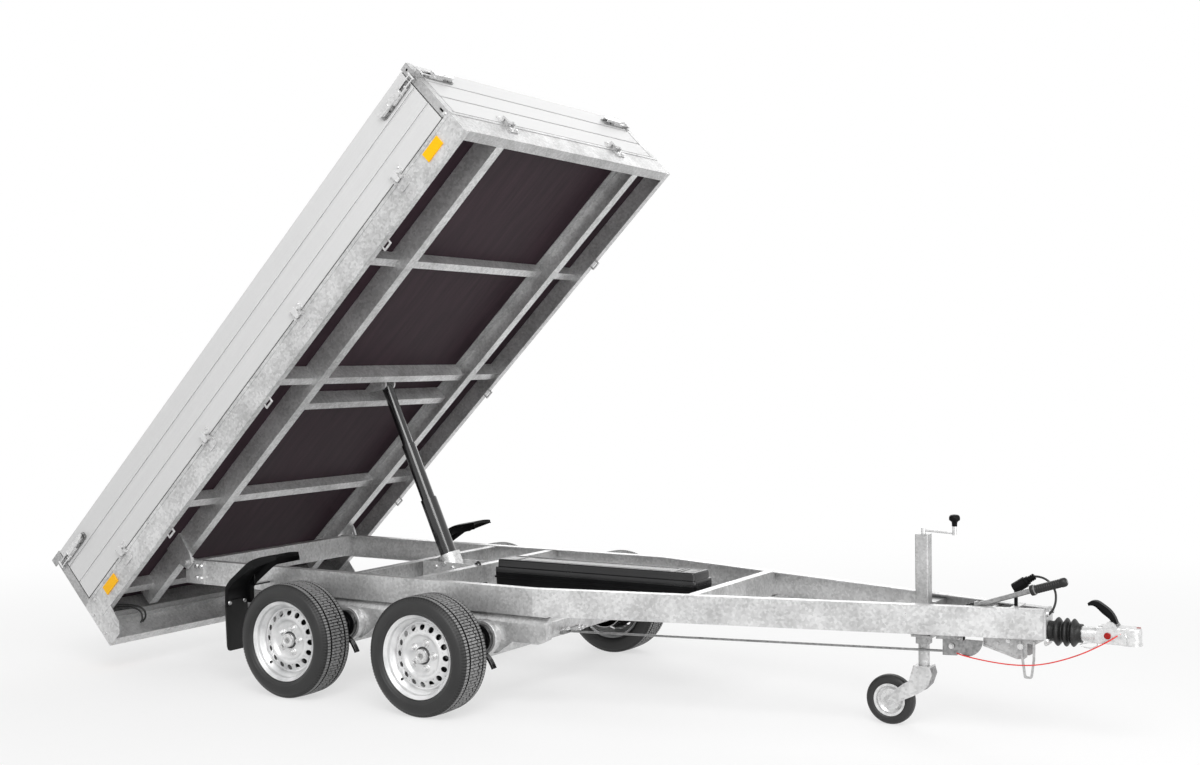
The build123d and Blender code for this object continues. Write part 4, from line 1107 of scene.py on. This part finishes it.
# %% Valves and ring
for key, (x, side, body) in WHEELS.items():
    stem = merge(rod((x - 110, side * 832, 149), (x - 107, side * 858, 152), 4.2),
                 rod((x - 107, side * 856, 152), (x - 106, side * 866, 153), 5.4, 12))
    build("valve_" + key, stem, soft_rubber, body, smooth=40)
ring = bent([
    (2984, -30, 412), (3012, -33, 419), (3038, -34, 421), (3044, -34, 412), (3020, -34, 399),
    (2990, -32, 401), (2978, -30, 407), (2984, -30, 412)], 2.2)
build("coupling_ring", ring, bright_zinc, "coupling", smooth=60)

# %% [markdown]
# Every CAD solid that stays in view gets its finish here. A solid keeps its shape and place; only the
# material in its slots changes. Solids that a piece stands for get one too.

# %% Finishes of the CAD solids
by_finish = {
    # The darker copy of the zinc on these solids is painted shade.
    shaded_frame: "corner_posts end_rails jockey_tube drawbar_skirts shackle_loop",
    steel_frame: "chassis_rails cross_members pivot_brackets axle_carriers side_rails bed_beams cross_bars "
                 "eye_bracket rear_panel jockey_inner jockey_fork drawbar_head axle_front axle_rear",
    bright_zinc: "jockey_crank coupling_head jockey_rim barrel",
    grey_zinc: "handbrake brake_rod",
    side_aluminium: "board_right board_left",
    shaded_end_aluminium: "headboard tailgate",
    floor_ply: "bed_floor",
    black_plastic: "power_box power_lid mudguards coupling_handle plug",
    gloss_paint: "stage_one stage_two stage_three",
    wheel_silver: "rim_fr rim_rr rim_fl rim_rl",
    tyre_rubber: "tyre_fr tyre_rr tyre_fl tyre_rl jockey_tyre",
    soft_rubber: "bellows",
    lamp_red: "tail_lamps",
    amber: "side_reflectors",
    cable_black: "plug_cable",
    cable_red: "breakaway_cable",
}
for material, names in by_finish.items():
    for name in names.split():
        held = nodes[name].data.materials
        held.clear()
        held.append(material)
print("solids with a finish:", sum(len(names.split()) for names in by_finish.values()))

# %% [markdown]
# The stage is a wide pale floor under a white world. Both show white to the camera and to reflections,
# while other rays meet less light and the floor still takes the trailer's shadow from the lamps. The
# floor's own glow grows from 2.6 m to 6.5 m out, so that its edge is lost in the white.

# %% Floor and world
WHITE = (1, 1, 1, 1)
floor_data = bpy.data.meshes.new("floor")
floor_data.from_pydata([(-60, -60, 0), (60, -60, 0), (60, 60, 0), (-60, 60, 0)], [], [(0, 1, 2, 3)])
floor = bpy.data.objects.new("floor", floor_data)
bpy.context.scene.collection.objects.link(floor)


def shown(tree):
    """1 for rays of the camera, of reflections and through glass, and 0 for all others."""
    rays = add(tree, "LightPath").outputs
    seen = add(tree, "Math", {0: rays["Is Camera Ray"], 1: rays["Is Glossy Ray"]}, operation="MAXIMUM")
    seen = add(tree, "Math", {0: rays["Is Transmission Ray"], 1: seen.outputs[0]}, operation="MAXIMUM")
    return seen.outputs[0]


pale, tree, shader, place = finish("studio_floor")
set_values(shader, colour=tone("F6F6F6"), rough=0.9, gloss=0.1)
far = add(tree, "VectorMath", {0: place}, operation="LENGTH").outputs["Value"]
span = {"Value": far, "From Min": 2.6, "From Max": 6.5, "To Min": 0.62, "To Max": 1.0}
share = add(tree, "MapRange", span, interpolation_type="SMOOTHSTEP").outputs["Result"]
share = add(tree, "Math", {0: share, 1: shown(tree)}, operation="MULTIPLY").outputs[0]
glow = add(tree, "Emission", {"Color": WHITE, "Strength": 1.0}).outputs["Emission"]
blend = add(tree, "MixShader", {0: share, 1: shader.outputs["BSDF"], 2: glow}).outputs["Shader"]
tree.links.new(blend, tree.nodes["Material Output"].inputs["Surface"])
floor_data.materials.append(pale)

world = bpy.data.worlds.new("studio")
bpy.context.scene.world = world
world.use_nodes = True
tree = world.node_tree
strength = add(tree, "MapRange", {"Value": shown(tree), "To Min": 0.5, "To Max": 1.0}).outputs["Result"]
tree.links.new(strength, tree.nodes["Background"].inputs["Strength"])
tree.nodes["Background"].inputs["Color"].default_value = WHITE
print("floor and world:", pale.name, world.name)

# %% [markdown]
# Large area lamps model the flanks: the key from the front right and above, as in the photograph, a low one
# from the front that reaches under the raised bed, and a weaker fill from the left.

# %% Lamps


def lamp(name, place, target, size, power):
    """A square area lamp, its side in metres and its power in watts, that faces a target point."""
    data = bpy.data.lights.new(name, "AREA")
    data.size = size
    data.energy = power
    made = bpy.data.objects.new(name, data)
    aim = (Vector(target) - Vector(place)).to_track_quat("-Z", "Y")
    made.matrix_world = Matrix.Translation(place) @ aim.to_matrix().to_4x4()
    bpy.context.scene.collection.objects.link(made)


lamp("key", (4.0, -6.0, 6.5), (0.0, 0.0, 0.8), 5.0, 480)
lamp("front", (7.5, -2.0, 1.6), (0.0, 0.0, 1.4), 4.0, 150)
lamp("fill", (-3.0, 6.5, 5.0), (0.0, 0.0, 1.0), 6.0, 220)
bpy.context.scene.view_settings.view_transform = "Standard"
print("lamps:", len(bpy.data.lights))
